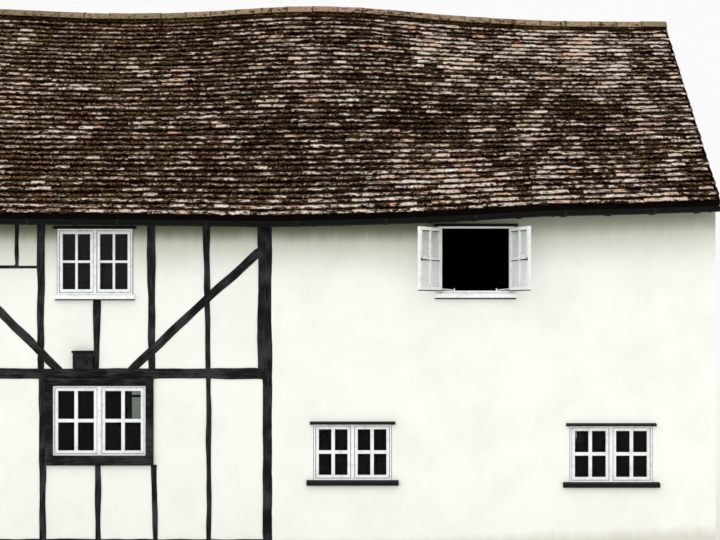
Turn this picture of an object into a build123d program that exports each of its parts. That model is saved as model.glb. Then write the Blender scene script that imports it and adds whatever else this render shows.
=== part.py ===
"""Two-storey half timbered house with a sagging tiled roof, in millimetres.

X runs along the length, the front faces -Y and Z is up. The origin is on the ground
at the middle of the overall box. The left half of the front is a timber frame with
limewashed panels, the right half is rendered, and the right end is a party wall.
"""

import os
from collections import namedtuple
from math import asin, cos, hypot, pi, sin

from build123d import *

# Overall sizes
LENGTH = 9000.0             # roof length from verge to party wall face
DEPTH = 4900.0              # front wall face to back wall face
VERGE = 40.0                # overhang of the tiles past the left gable
EAVES_OUT = 200.0           # overhang of the tiles past the front and back walls

# Roof heights, with the sag of the old timbers from the left end to the right end
EAVES_Z = 4000.0
RIDGE_TOP_Z = 6850.0
EAVES_SAG = (8, 2, -4, -15, -26, -4, 32, 90, 112, 146)
RIDGE_SAG = (65, 22, -2, 30, 92, 78, -14, -78, -104, -104)
ROOF_BAYS = 18              # straight stretches that make up the sagging slopes
COVER = 60.0                # tiles and battens, measured plumb
RIDGE_COVER = 70.0          # ridge top above the apex of the slopes
RIDGE_RADIUS = 125.0

# Roof carpentry
RAFTER_WIDTH = 75.0
RAFTER_DEPTH = 140.0        # measured plumb
RAFTER_FOOT_IN = 60.0       # rafter foot behind the tile edge
BIRDSMOUTH = 80.0           # notch of the rafter over the wall plate, measured plumb
PLATE_DEPTH = 130.0
FASCIA_THICK = 20.0
FASCIA_DEPTH = 115.0
GUTTER_RADIUS = 62.0
GUTTER_WALL = 4.0
GUTTER_SIDES = 12
GUTTER_DROP = 73.0          # gutter lip below the tile edge
GUTTER_GAP = 9.0            # between the fascia and the back of the gutter
BRACKET_WIDTH = 28.0
BRACKET_THICK = 5.0
BRACKET_ARM = 25.0

# Walls and floors
TIMBER_WALL = 150.0
RENDER_WALL = 200.0
PARTY_WALL = 200.0
PLINTH_HEIGHT = 160.0
PLINTH_OUT = 12.0           # plinth beyond the wall face
SILL_BEAM_HEIGHT = 145.0
GROUND_FLOOR_Z = 200.0
STOREY_Z = 2245.0           # top of the girding beam
GIRDING_DEPTH = 108.0
GIRDING_SAG = 9.0
PANEL_RECESS = 7.0          # limewashed panels behind the timber face
BEAM_WIDTH = 222.0
BEAM_DEPTH = 182.0
BEAM_OUT = 65.0             # end of the cross beam beyond the wall face
BEAM_CAP = 25.0
BEAM_CAP_OUT = 12.0
BOARD = 30.0
JOIST_WIDTH = 80.0
JOIST_DEPTH = 100.0
JOIST_COUNT = 9

# Main posts
CORNER_WIDTH = 160.0
POST_X = -622.0             # middle of the post where timber meets render
POST_WIDTH = 150.0
POST_LOWER_WIDTH = 96.0
POST_LOWER_SHIFT = 30.0

# Studs: middle at the foot and at the head, width at the foot and at the head
Stud = namedtuple("Stud", "foot head foot_width head_width")
UPPER_STUDS = (
    Stud(-3773, -3782, 50, 66),
    Stud(-3170, -3164, 56, 88),
    Stud(-1906, -1916, 66, 84),
    Stud(-1266, -1292, 42, 74),
)
LOWER_STUDS = (
    Stud(-3784, -3778, 46, 44),
    Stud(-3146, -3152, 58, 70),
    Stud(-1258, -1262, 45, 43),
)
UNDER_WINDOW_STUDS = (
    Stud(-2517, -2519, 52, 50),
    Stud(-1868, -1882, 46, 52),
)
SILL_STUD = Stud(-2538, -2530, 54, 72)      # between the upper window and the beam
SHORT_STUD = Stud(-3442, -3440, 30, 44)
SHORT_RAIL_Z = 3388.0
SHORT_RAIL_DEPTH = 26.0
BRACE_WIDTH = 86.0
BRACE_BOW = 14.0
LEFT_BRACE_FOOT = -2975.0
LEFT_BRACE_HEAD_Z = 3510.0
RIGHT_BRACE_FOOT = -2128.0
RIGHT_BRACE_HEAD_Z = 3555.0
CROSS_BEAM_X = (-2681.0, POST_X, 1830.0)

# Windows: middle, sill height, width and height of the frame
Window = namedtuple("Window", "x z width height mullion")
UPPER_LEFT = Window(-2552, 3093, 852, 741, 34)
LOWER_LEFT = Window(-2502, 1260, 1054, 790, 50)
LOWER_MIDDLE = Window(376, 982, 881, 632, 40)
LOWER_RIGHT = Window(3313, 959, 932, 636, 40)
OPEN_WINDOW = Window(1773, 3115, 865, 747, 0)
BACK_UPPER = Window(LOWER_RIGHT.x, 3115, 821, 747, 34)
FRAME_DEPTH = 80.0
FRAME_OUT = 4.0             # window frame beyond the wall face
FRAME_BAR = 18.0
LEAF_STILE = 38.0
LEAF_THICK = 34.0
LEAF_BACK = 10.0            # shut casement behind the face of its frame
GLASS = 5.0
GLASS_FIT = 6.0             # glass held this far into its rebate
SILL_DEPTH = 56.0
SILL_OUT = 55.0
SILL_SIDE = 28.0
OPEN_SILL_DEPTH = 64.0
DRIP_DEPTH = 34.0
DRIP_OUT = 45.0
DRIP_SIDE = 45.0
BLACK_SILL_DEPTH = 60.0
BLACK_SILL_SIDE = 82.0
LEFT_LEAF_ANGLE = 129.7
RIGHT_LEAF_ANGLE = 114.8
LEAF_CLEAR = 3.0            # between an open casement's edges and its frame's opening
KNUCKLE_RADIUS = 8.0
HINGE_HEIGHT = 62.0
HINGE_FLAP = 30.0
HINGE_THICK = 3.0
HINGE_END = 70.0            # hinge from the top and the foot of the casement

# Dark surround of the lower left window
SURROUND_OUT = 22.0
SURROUND_JAMB = 88.0
SURROUND_SILL_DEPTH = 112.0
SURROUND_SILL_OUT = 40.0
HEAD_STEPS = 3
HEAD_STEP_OUT = 14.0

# Back door
DOOR = Window(376, 305, 860, 1780, 0)
DOOR_THICK = 45.0
DOOR_FRAME = 70.0

# Gable end
GABLE_STUDS = 4
GABLE_STUD_WIDTH = 80.0
COLLAR_RISE = 1150.0
KING_WIDTH = 120.0

# Places that follow from the sizes above
LEFT = -LENGTH / 2 + VERGE
RIGHT = LENGTH / 2
FRONT = -DEPTH / 2
CORNER_IN = LEFT + CORNER_WIDTH
POST_LEFT = POST_X - POST_WIDTH / 2
POST_RIGHT = POST_X + POST_WIDTH / 2
PARTY_IN = RIGHT - PARTY_WALL
SILL_TOP = PLINTH_HEIGHT + SILL_BEAM_HEIGHT
GIRDING_Z = STOREY_Z - GIRDING_DEPTH
BEAM_TOP = STOREY_Z + BEAM_DEPTH
FLOOR_Z = BEAM_TOP + BOARD
ROOF_HALF = DEPTH / 2 + EAVES_OUT
RAFTER_HALF = ROOF_HALF - RAFTER_FOOT_IN
WALL_PLANE = Plane(origin=(0, FRONT, 0), x_dir=(1, 0, 0), z_dir=(0, -1, 0))


# Heights of the roof

def smooth(values, x):
    """Value at x of a smooth curve through evenly spaced values along the roof."""
    place = (x + LENGTH / 2) / LENGTH * (len(values) - 1)
    index = min(max(int(place), 0), len(values) - 2)
    t = place - index
    before = values[max(index - 1, 0)]
    start = values[index]
    end = values[index + 1]
    after = values[min(index + 2, len(values) - 1)]
    a = (end - before) / 2
    b = (after - start) / 2
    return (start * (1 + 2 * t) * (1 - t) ** 2 + a * t * (1 - t) ** 2
            + end * t * t * (3 - 2 * t) + b * t * t * (t - 1))


def stations(start, end):
    """Places along X where the sagging lines bend, between start and end."""
    step = LENGTH / ROOF_BAYS
    marks = [-LENGTH / 2 + step * i for i in range(ROOF_BAYS + 1)]
    return [start] + [m for m in marks if start + 1 < m < end - 1] + [end]


def bent(values, x):
    """Value at x on the straight stretches between the roof's stations."""
    step = LENGTH / ROOF_BAYS
    index = min(max(int((x + LENGTH / 2) / step), 0), ROOF_BAYS - 1)
    low = -LENGTH / 2 + step * index
    t = (x - low) / step
    return smooth(values, low) * (1 - t) + smooth(values, low + step) * t


def eaves_z(x):
    return EAVES_Z + bent(EAVES_SAG, x)


def apex_z(x):
    return RIDGE_TOP_Z - RIDGE_COVER + bent(RIDGE_SAG, x)


def pitch(x):
    """Rise for each millimetre of run."""
    return (apex_z(x) - eaves_z(x)) / ROOF_HALF


def roof_z(x, y):
    """Height of the top of the slopes."""
    return apex_z(x) - abs(y) * pitch(x)


def under_cover(x, y):
    return roof_z(x, y) - COVER


def under_rafter(x, y):
    return under_cover(x, y) - RAFTER_DEPTH


def plate_top(x):
    return under_rafter(x, FRONT) + BIRDSMOUTH


def wall_top(x):
    return plate_top(x) - PLATE_DEPTH


# Helpers

def block(x0, x1, y0, y1, z0, z1):
    """Box between two corners."""
    box = Box(x1 - x0, y1 - y0, z1 - z0, align=(Align.MIN, Align.MIN, Align.MIN))
    return Pos(x0, y0, z0) * box


def outline(points):
    return make_face(Polyline(*points, close=True))


def section(x, points):
    """Face at x from points given as (y, z)."""
    plane = Plane(origin=(x, 0, 0), x_dir=(0, 1, 0), z_dir=(1, 0, 0))
    return plane * outline(points)


def along(places, profile):
    """Solid that follows the roof's sag through the profile at each place."""
    return loft([section(x, profile(x)) for x in places], ruled=True)


def in_wall(shape, out, depth):
    """Front wall piece from a drawing in X and Z: out beyond the face, depth overall."""
    return extrude(WALL_PLANE.offset(out) * shape, amount=-depth)


def to_back(shape):
    return mirror(shape, about=Plane.XZ)


def rectangle(x0, x1, z0, z1):
    return outline([(x0, z0), (x1, z0), (x1, z1), (x0, z1)])


def stud_outline(stud, z0, z1):
    return outline([
        (stud.foot - stud.foot_width / 2, z0),
        (stud.foot + stud.foot_width / 2, z0),
        (stud.head + stud.head_width / 2, z1),
        (stud.head - stud.head_width / 2, z1),
    ])


def brace_outline(foot, head, bow):
    """Slightly bowed brace between two points of its middle line."""
    length = hypot(head[0] - foot[0], head[1] - foot[1])
    side = ((foot[1] - head[1]) / length, (head[0] - foot[0]) / length)
    middle = ((foot[0] + head[0]) / 2 + side[0] * bow, (foot[1] + head[1]) / 2 + side[1] * bow)
    half = BRACE_WIDTH / 2
    one = [(p[0] + side[0] * half, p[1] + side[1] * half) for p in (foot, middle, head)]
    two = [(p[0] - side[0] * half, p[1] - side[1] * half) for p in (head, middle, foot)]
    return outline(one + two)


def window_outline(window, margin=0.0):
    return rectangle(
        window.x - window.width / 2 - margin,
        window.x + window.width / 2 + margin,
        window.z - margin,
        window.z + window.height + margin,
    )


def save(shape, name):
    os.makedirs("parts", exist_ok=True)
    export_step(shape, f"parts/{name}.step")


def together(shapes):
    return Compound(children=list(shapes))


# Timber frame of the front and back walls, drawn in X and Z

def frame_region(z0, top=None):
    """Area between the corner post and the main post, up to z or to the wall plate."""
    if top is not None:
        return rectangle(CORNER_IN, POST_LEFT, z0, top)
    places = stations(CORNER_IN, POST_LEFT)
    upper = [(x, wall_top(x)) for x in reversed(places)]
    return outline([(CORNER_IN, z0), (POST_LEFT, z0)] + upper)


def girding_outline():
    middle = (CORNER_IN + POST_LEFT) / 2
    return outline([
        (CORNER_IN, GIRDING_Z), (POST_LEFT, GIRDING_Z), (POST_LEFT, STOREY_Z),
        (middle, STOREY_Z - GIRDING_SAG), (CORNER_IN, STOREY_Z),
    ])


def brace_outlines():
    """Two long braces from the girding beam up to the posts."""
    low = STOREY_Z - BRACE_WIDTH
    left = brace_outline((LEFT_BRACE_FOOT + BRACE_WIDTH, low),
                         (CORNER_IN - BRACE_WIDTH, LEFT_BRACE_HEAD_Z + BRACE_WIDTH), -BRACE_BOW)
    right = brace_outline((RIGHT_BRACE_FOOT - BRACE_WIDTH, low),
                          (POST_LEFT + BRACE_WIDTH, RIGHT_BRACE_HEAD_Z + BRACE_WIDTH), BRACE_BOW)
    region = frame_region(STOREY_Z - GIRDING_SAG) - girding_outline()
    return [left & region, right & region]


def upper_stud_outlines():
    region = frame_region(STOREY_Z - GIRDING_SAG) - girding_outline()
    reach = EAVES_Z + max(EAVES_SAG)
    studs = [stud_outline(s, STOREY_Z - GIRDING_SAG, reach) for s in UPPER_STUDS]
    studs.append(stud_outline(SILL_STUD, STOREY_Z - GIRDING_SAG, UPPER_LEFT.z - SILL_DEPTH))
    cut = region
    for brace in brace_outlines():
        cut = cut - brace
    return [s & cut for s in studs]


def short_rail_outline():
    """Thin rail between the first two studs, with a short stud on it."""
    rail_top = SHORT_RAIL_Z + SHORT_RAIL_DEPTH
    reach = EAVES_Z + max(EAVES_SAG)
    rail = rectangle(UPPER_STUDS[0].head, UPPER_STUDS[1].head, SHORT_RAIL_Z, rail_top)
    both = rail + stud_outline(SHORT_STUD, SHORT_RAIL_Z, reach)
    for stud in UPPER_STUDS[:2]:
        both = both - stud_outline(stud, STOREY_Z - GIRDING_SAG, reach)
    return both & frame_region(STOREY_Z)


def lower_stud_outlines():
    sill = LOWER_LEFT.z - SURROUND_SILL_DEPTH
    studs = [stud_outline(s, SILL_TOP, GIRDING_Z) for s in LOWER_STUDS]
    studs += [stud_outline(s, SILL_TOP, sill) for s in UNDER_WINDOW_STUDS]
    return studs


def surround_box():
    """Outer lines of the dark surround: left, right, bottom, top."""
    left = LOWER_STUDS[1].head + LOWER_STUDS[1].head_width / 2
    right = LOWER_LEFT.x + LOWER_LEFT.width / 2 + SURROUND_JAMB
    return left, right, LOWER_LEFT.z - SURROUND_SILL_DEPTH, GIRDING_Z


def beam_end_outline():
    x = CROSS_BEAM_X[0]
    return rectangle(x - BEAM_WIDTH / 2, x + BEAM_WIDTH / 2, STOREY_Z - GIRDING_SAG, BEAM_TOP)


def upper_panels(beam_end):
    area = frame_region(STOREY_Z - GIRDING_SAG) - girding_outline()
    parts = brace_outlines() + upper_stud_outlines() + [short_rail_outline()]
    parts.append(window_outline(UPPER_LEFT))
    parts.append(rectangle(
        UPPER_LEFT.x - UPPER_LEFT.width / 2 - SILL_SIDE,
        UPPER_LEFT.x + UPPER_LEFT.width / 2 + SILL_SIDE,
        UPPER_LEFT.z - SILL_DEPTH, UPPER_LEFT.z))
    if beam_end:
        parts.append(beam_end_outline())
    for part in parts:
        area = area - part
    return area


def lower_panels():
    left, right, bottom, top = surround_box()
    area = frame_region(SILL_TOP, GIRDING_Z) - rectangle(left, right, bottom, top)
    for part in lower_stud_outlines():
        area = area - part
    return area


def panels(drawing):
    return in_wall(drawing, -PANEL_RECESS, TIMBER_WALL - PANEL_RECESS)


def timbers(drawings):
    return [in_wall(d, 0, TIMBER_WALL) for d in drawings]


def main_post():
    """Post where timber meets render: narrower below the girding beam."""
    low = POST_X + POST_LOWER_SHIFT
    lower = rectangle(low - POST_LOWER_WIDTH / 2, low + POST_LOWER_WIDTH / 2, SILL_TOP, GIRDING_Z)
    upper_places = stations(POST_LEFT, POST_RIGHT)
    top = [(x, wall_top(x)) for x in reversed(upper_places)]
    upper = outline([(POST_LEFT, GIRDING_Z), (POST_RIGHT, GIRDING_Z)] + top)
    return in_wall(lower + upper, 0, TIMBER_WALL)


def corner_post():
    places = stations(LEFT, CORNER_IN)
    top = [(x, wall_top(x)) for x in reversed(places)]
    drawing = outline([(LEFT, SILL_TOP), (CORNER_IN, SILL_TOP)] + top)
    return in_wall(drawing, 0, TIMBER_WALL)


def post_filler():
    """Panel beside the narrow foot of the main post, up to the girding beam."""
    edge = POST_X + POST_LOWER_SHIFT - POST_LOWER_WIDTH / 2
    return rectangle(POST_LEFT, edge, SILL_TOP, GIRDING_Z)


# Rendered walls

def render_left():
    return POST_X + POST_LOWER_SHIFT + POST_LOWER_WIDTH / 2


def render_area(x0, x1, z0, z1=None):
    """Piece of rendered wall, whose top follows the wall plate where no z1 is given."""
    if z1 is not None:
        return in_wall(rectangle(x0, x1, z0, z1), 0, RENDER_WALL)
    top = [(x, wall_top(x)) for x in reversed(stations(x0, x1))]
    return in_wall(outline([(x0, z0), (x1, z0)] + top), 0, RENDER_WALL)


def sides(window):
    return window.x - window.width / 2, window.x + window.width / 2


def upper_render():
    """Piers and spandrels round the open window."""
    x0, x1 = sides(OPEN_WINDOW)
    piers = [render_area(POST_RIGHT, x0, STOREY_Z), render_area(x1, PARTY_IN, STOREY_Z)]
    spandrels = [
        render_area(x0, x1, STOREY_Z, OPEN_WINDOW.z - OPEN_SILL_DEPTH),
        render_area(x0, x1, OPEN_WINDOW.z + OPEN_WINDOW.height),
    ]
    return piers, spandrels


def lower_render():
    """Piers and spandrels round the two lower windows."""
    a0, a1 = sides(LOWER_MIDDLE)
    b0, b1 = sides(LOWER_RIGHT)
    foot = PLINTH_HEIGHT
    piers = [
        in_wall(outline([
            (render_left(), foot), (a0, foot), (a0, STOREY_Z), (POST_RIGHT, STOREY_Z),
            (POST_RIGHT, GIRDING_Z), (render_left(), GIRDING_Z)]), 0, RENDER_WALL),
        render_area(a1, b0, foot, STOREY_Z),
        render_area(b1, PARTY_IN, foot, STOREY_Z),
    ]
    spandrels = []
    for window, x0, x1 in ((LOWER_MIDDLE, a0, a1), (LOWER_RIGHT, b0, b1)):
        spandrels.append(render_area(x0, x1, foot, window.z - BLACK_SILL_DEPTH))
        spandrels.append(render_area(x0, x1, window.z + window.height, STOREY_Z))
    return piers, spandrels


def back_render():
    """Rendered wall of the back in one piece, with two windows and the door cut through."""
    top = [(x, wall_top(x)) for x in reversed(stations(POST_RIGHT, PARTY_IN))]
    area = outline([
        (render_left(), PLINTH_HEIGHT), (PARTY_IN, PLINTH_HEIGHT)] + top + [
        (POST_RIGHT, GIRDING_Z), (render_left(), GIRDING_Z)])
    for window in (BACK_UPPER, LOWER_RIGHT):
        area = area - window_outline(window)
    return in_wall(area - window_outline(DOOR), 0, RENDER_WALL)


# Windows

def leaf(width, height):
    """Casement ring lying in X and Z with its hinge edge on the Z axis, front at y = 0."""
    outer = block(0, width, 0, LEAF_THICK, 0, height)
    inner = block(LEAF_STILE, width - LEAF_STILE, -1, LEAF_THICK + 1, LEAF_STILE, height - LEAF_STILE)
    groove = GLASS / 2
    middle = LEAF_THICK / 2
    rebate = block(LEAF_STILE - GLASS_FIT, width - LEAF_STILE + GLASS_FIT, middle - groove,
                   middle + groove, LEAF_STILE - GLASS_FIT, height - LEAF_STILE + GLASS_FIT)
    return outer - inner - rebate


def leaf_glass(width, height):
    """Pane that fills the rebate of a leaf."""
    middle = LEAF_THICK / 2
    return block(LEAF_STILE - GLASS_FIT, width - LEAF_STILE + GLASS_FIT, middle - GLASS / 2,
                 middle + GLASS / 2, LEAF_STILE - GLASS_FIT, height - LEAF_STILE + GLASS_FIT)


def leaf_size(window):
    """Width and height of one casement: the pair fills the frame beside its mullion."""
    width = (window.width - 2 * FRAME_BAR - window.mullion) / 2
    return width, window.height - 2 * FRAME_BAR


def frame_ring(window):
    """Frame with its mullion."""
    x0, x1 = sides(window)
    z0 = window.z + FRAME_BAR
    z1 = window.z + window.height - FRAME_BAR
    shape = window_outline(window) - rectangle(x0 + FRAME_BAR, x1 - FRAME_BAR, z0, z1)
    if window.mullion:
        half = window.mullion / 2
        shape = shape + rectangle(window.x - half, window.x + half, z0, z1)
    return in_wall(shape, FRAME_OUT, FRAME_DEPTH)


def closed_window(window):
    """Frame with two shut casements in it, and the panes."""
    width, height = leaf_size(window)
    y = FRONT - FRAME_OUT + LEAF_BACK
    base = window.z + FRAME_BAR
    starts = (window.x - window.mullion / 2 - width, window.x + window.mullion / 2)
    shape = frame_ring(window)
    for x in starts:
        shape = shape + Pos(x, y, base) * leaf(width, height)
    panes = [Pos(x, y, base) * leaf_glass(width, height) for x in starts]
    return shape, panes


def drip_board(window):
    """Weathered board over a window head, sloped on top."""
    x0, x1 = sides(window)
    z = window.z + window.height
    nose = FRONT - DRIP_OUT
    profile = [(FRONT, z), (FRONT, z + DRIP_DEPTH), (nose, z + DRIP_DEPTH / 2), (nose, z)]
    return extrude(section(x0 - DRIP_SIDE, profile), amount=x1 - x0 + 2 * DRIP_SIDE)


def window_sill(window, depth, side):
    """Sill through the wall, with a sloping nose beyond the face."""
    x0, x1 = sides(window)
    top = window.z
    nose = FRONT - SILL_OUT
    inner = block(x0, x1, FRONT, FRONT + RENDER_WALL, top - depth, top)
    profile = [(FRONT, top - depth), (FRONT, top), (nose, top - depth / 4), (nose, top - depth)]
    return inner + extrude(section(x0 - side, profile), amount=x1 - x0 + 2 * side)


def timber_sill(window):
    """Sill of the upper left window, let into the panels on both sides."""
    x0, x1 = sides(window)
    top = window.z
    nose = FRONT - SILL_OUT
    profile = [(FRONT + TIMBER_WALL, top - SILL_DEPTH), (FRONT + TIMBER_WALL, top), (FRONT, top),
               (nose, top - SILL_DEPTH / 4), (nose, top - SILL_DEPTH)]
    return extrude(section(x0 - SILL_SIDE, profile), amount=x1 - x0 + 2 * SILL_SIDE)


def open_leaf(window, angle, right):
    """Casement, pane and hinges, turned outwards about the knuckles by the angle from shut."""
    width, height = leaf_size(window)
    width = width - LEAF_CLEAR
    height = height - 2 * LEAF_CLEAR
    base = window.z + FRAME_BAR + LEAF_CLEAR
    swing = Rot(0, 0, -angle) * Pos(0, KNUCKLE_RADIUS, 0)
    casement = swing * leaf(width, height)
    pane = swing * leaf_glass(width, height)
    hinges = []
    for z in (HINGE_END, height - HINGE_END - HINGE_HEIGHT):
        knuckle = Pos(0, 0, z + HINGE_HEIGHT / 2) * Cylinder(KNUCKLE_RADIUS, HINGE_HEIGHT)
        flap = block(-HINGE_FLAP, 0, KNUCKLE_RADIUS - HINGE_THICK, KNUCKLE_RADIUS, z, z + HINGE_HEIGHT)
        hinges.append(knuckle + flap)
    x0, x1 = sides(window)
    pivot = (x1 - FRAME_BAR if right else x0 + FRAME_BAR, FRONT - FRAME_OUT - KNUCKLE_RADIUS)
    placed = []
    for shape in [casement, pane] + hinges:
        handed = mirror(shape, about=Plane.YZ) if right else shape
        placed.append(Pos(pivot[0], pivot[1], base) * handed)
    return placed


def surround():
    """Dark surround of the lower left window, with a stepped head and a heavy sill."""
    left, right, bottom, top = surround_box()
    x0, x1 = sides(LOWER_LEFT)
    z0 = LOWER_LEFT.z
    z1 = LOWER_LEFT.z + LOWER_LEFT.height
    ring = rectangle(left, right, bottom, top) - rectangle(x0, x1, z0, z1)
    shape = in_wall(ring, 0, TIMBER_WALL)
    for x, end in ((left, x0), (x1, right)):
        shape = shape + block(x, end, FRONT - SURROUND_OUT, FRONT, z0, z1)
    step = (top - z1) / HEAD_STEPS
    for i in range(HEAD_STEPS):
        out = SURROUND_OUT + HEAD_STEP_OUT * i
        shape = shape + block(left, right, FRONT - out, FRONT, z1 + step * i, z1 + step * (i + 1))
    nose = FRONT - SURROUND_SILL_OUT
    return shape + block(left, right, nose, FRONT, bottom, z0)


def back_door():
    """Plank door in its frame, shut."""
    x0, x1 = sides(DOOR)
    z1 = DOOR.z + DOOR.height
    frame = window_outline(DOOR) - rectangle(x0 + DOOR_FRAME, x1 - DOOR_FRAME, DOOR.z, z1 - DOOR_FRAME)
    shape = in_wall(frame, 0, FRAME_DEPTH)
    planks = rectangle(x0 + DOOR_FRAME, x1 - DOOR_FRAME, DOOR.z, z1 - DOOR_FRAME)
    return shape + in_wall(planks, -FRAME_DEPTH / 4, DOOR_THICK)


# Floors and carpentry inside

def beam_sides(x):
    """Left and right sides of the cross beam at x: the first is the heavy one."""
    half = (BEAM_WIDTH if x == CROSS_BEAM_X[0] else POST_WIDTH) / 2
    return x - half, x + half


def cross_beams():
    """Beams under the upper floor: the first has its front end through the wall."""
    shapes = []
    for x in CROSS_BEAM_X:
        x0, x1 = beam_sides(x)
        reach = DEPTH / 2 - (RENDER_WALL if x > POST_X else TIMBER_WALL)
        start = FRONT - BEAM_OUT if x == CROSS_BEAM_X[0] else -reach
        shapes.append(block(x0, x1, start, reach, STOREY_Z, BEAM_TOP))
    return shapes


def joists():
    """Joists between the cross beams and the end walls."""
    ends = [LEFT + TIMBER_WALL]
    for x in CROSS_BEAM_X:
        ends += beam_sides(x)
    ends.append(PARTY_IN)
    reach = DEPTH / 2 - RENDER_WALL - JOIST_WIDTH
    step = (2 * reach - JOIST_WIDTH) / (JOIST_COUNT - 1)
    shapes = []
    for x0, x1 in zip(ends[::2], ends[1::2]):
        for i in range(JOIST_COUNT):
            y = -reach + step * i
            shapes.append(block(x0, x1, y, y + JOIST_WIDTH, BEAM_TOP - JOIST_DEPTH, BEAM_TOP))
    return shapes


def upper_floor():
    reach = DEPTH / 2 - RENDER_WALL
    return block(LEFT + TIMBER_WALL, PARTY_IN, -reach, reach, BEAM_TOP, FLOOR_Z)


def plate(side):
    """Wall plate along the front or the back, following the sag of the eaves."""
    outer = FRONT * side
    inner = (FRONT + TIMBER_WALL) * side

    def profile(x):
        top = plate_top(x)
        return [(outer, wall_top(x)), (inner, wall_top(x)), (inner, top), (outer, top)]

    return along(stations(LEFT, PARTY_IN), profile)


def tie_beam(x):
    """Beam between the two wall plates."""
    reach = -FRONT - TIMBER_WALL

    def profile(px):
        low = wall_top(px)
        top = plate_top(px)
        return [(-reach, low), (reach, low), (reach, top), (-reach, top)]

    return along([x - POST_WIDTH / 2, x + POST_WIDTH / 2], profile)


def rafter(x, side):
    """Rafter of one slope, plumb cut at the ridge and notched over its wall plate."""

    def profile(px):
        notch = FRONT + BIRDSMOUTH / pitch(px)
        points = [
            (0, under_cover(px, 0)), (-RAFTER_HALF, under_cover(px, RAFTER_HALF)),
            (-RAFTER_HALF, under_rafter(px, RAFTER_HALF)), (FRONT, under_rafter(px, FRONT)),
            (FRONT, plate_top(px)), (notch, plate_top(px)), (0, under_rafter(px, 0)),
        ]
        return [(y * side, z) for y, z in points]

    return along([x - RAFTER_WIDTH / 2, x + RAFTER_WIDTH / 2], profile)


def rafter_places():
    step = LENGTH / ROOF_BAYS
    inner = [-LENGTH / 2 + step * (i + 0.5) for i in range(ROOF_BAYS)]
    return [LEFT + RAFTER_WIDTH / 2] + inner[1:]


# Roof covering

def slope(side):
    """Tiles and battens of one slope."""

    def profile(x):
        edge = ROOF_HALF * side
        return [(edge, eaves_z(x)), (0, apex_z(x)), (0, apex_z(x) - COVER), (edge, eaves_z(x) - COVER)]

    return along(stations(-LENGTH / 2, RIGHT), profile)


def ridge_section(x):
    """Half-round ridge tile bedded on the two slopes."""
    centre = apex_z(x) + RIDGE_COVER - RIDGE_RADIUS
    foot = roof_z(x, RIDGE_RADIUS)
    arch = ThreePointArc((-RIDGE_RADIUS, centre), (0, centre + RIDGE_RADIUS), (RIDGE_RADIUS, centre))
    rest = Polyline((RIDGE_RADIUS, centre), (RIDGE_RADIUS, foot), (0, apex_z(x)),
                    (-RIDGE_RADIUS, foot), (-RIDGE_RADIUS, centre))
    plane = Plane(origin=(x, 0, 0), x_dir=(0, 1, 0), z_dir=(1, 0, 0))
    return plane * make_face(arch + rest)


def ridge():
    return loft([ridge_section(x) for x in stations(-LENGTH / 2, RIGHT)], ruled=True)


def fascia(side):
    """Board across the rafter feet."""
    inner = -RAFTER_HALF * side
    outer = -(RAFTER_HALF + FASCIA_THICK) * side

    def profile(x):
        drop = under_cover(x, RAFTER_HALF) - FASCIA_DEPTH
        return [(inner, under_cover(x, inner)), (outer, under_cover(x, outer)), (outer, drop), (inner, drop)]

    return along(stations(LEFT, RIGHT), profile)


def gutter_centre(x):
    y = RAFTER_HALF + FASCIA_THICK + GUTTER_GAP + GUTTER_RADIUS
    return -y, eaves_z(x) - GUTTER_DROP


def half_round(x, radius):
    """Points of a half circle below the tile edge, from the front lip to the back lip."""
    y, z = gutter_centre(x)
    turns = [pi + pi * i / GUTTER_SIDES for i in range(GUTTER_SIDES + 1)]
    return [(y + radius * cos(turn), z + radius * sin(turn)) for turn in turns]


def gutter():
    """Front gutter with a stop end at each side."""
    ends = (-LENGTH / 2, RIGHT)
    places = stations(ends[0] + GUTTER_WALL, ends[1] - GUTTER_WALL)

    def trough(x):
        return half_round(x, GUTTER_RADIUS) + half_round(x, GUTTER_RADIUS - GUTTER_WALL)[::-1]

    def stop(x):
        return half_round(x, GUTTER_RADIUS)

    shape = along(places, trough)
    for pair in ((ends[0], places[0]), (places[-1], ends[1])):
        shape = shape + along(pair, stop)
    return shape


def gutter_bracket(x):
    """Strap under the gutter at x, with an arm back to the fascia."""
    arm_turn = asin(BRACKET_ARM / (GUTTER_RADIUS + BRACKET_THICK))
    kept = int(GUTTER_SIDES * (1 - arm_turn / pi))
    back = -RAFTER_HALF - FASCIA_THICK

    def profile(px):
        z = gutter_centre(px)[1]
        strap = half_round(px, GUTTER_RADIUS + BRACKET_THICK)[:kept]
        return strap + [(back, z - BRACKET_ARM), (back, z)] + half_round(px, GUTTER_RADIUS)[::-1]

    return along([x - BRACKET_WIDTH / 2, x + BRACKET_WIDTH / 2], profile)


def bracket_places():
    """Middles of every second stretch of the sagging eaves."""
    step = LENGTH / ROOF_BAYS
    return [-LENGTH / 2 + step * (i + 0.5) for i in range(0, ROOF_BAYS, 2)]


# Gable end and party wall

def gable_drawing():
    """Plane looking at the left gable from outside, drawn in Y and Z."""
    return Plane(origin=(LEFT, 0, 0), x_dir=(0, -1, 0), z_dir=(-1, 0, 0))


def in_gable(shape, out, depth):
    return extrude(gable_drawing().offset(out) * shape, amount=-depth)


def gable_half():
    return -FRONT - TIMBER_WALL


def gable_stud_places():
    half = gable_half()
    gap = (2 * half - GABLE_STUDS * GABLE_STUD_WIDTH) / (GABLE_STUDS + 1)
    return [-half + gap + (gap + GABLE_STUD_WIDTH) * i for i in range(GABLE_STUDS)]


def gable_levels():
    return ((SILL_TOP, GIRDING_Z), (STOREY_Z, wall_top(LEFT)))


def gable_beams():
    """Sill beam, girding beam and tie beam of the gable."""
    half = gable_half()
    levels = ((PLINTH_HEIGHT, SILL_TOP), (GIRDING_Z, STOREY_Z), (wall_top(LEFT), plate_top(LEFT)))
    return [in_gable(rectangle(-half, half, z0, z1), 0, TIMBER_WALL) for z0, z1 in levels]


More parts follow.
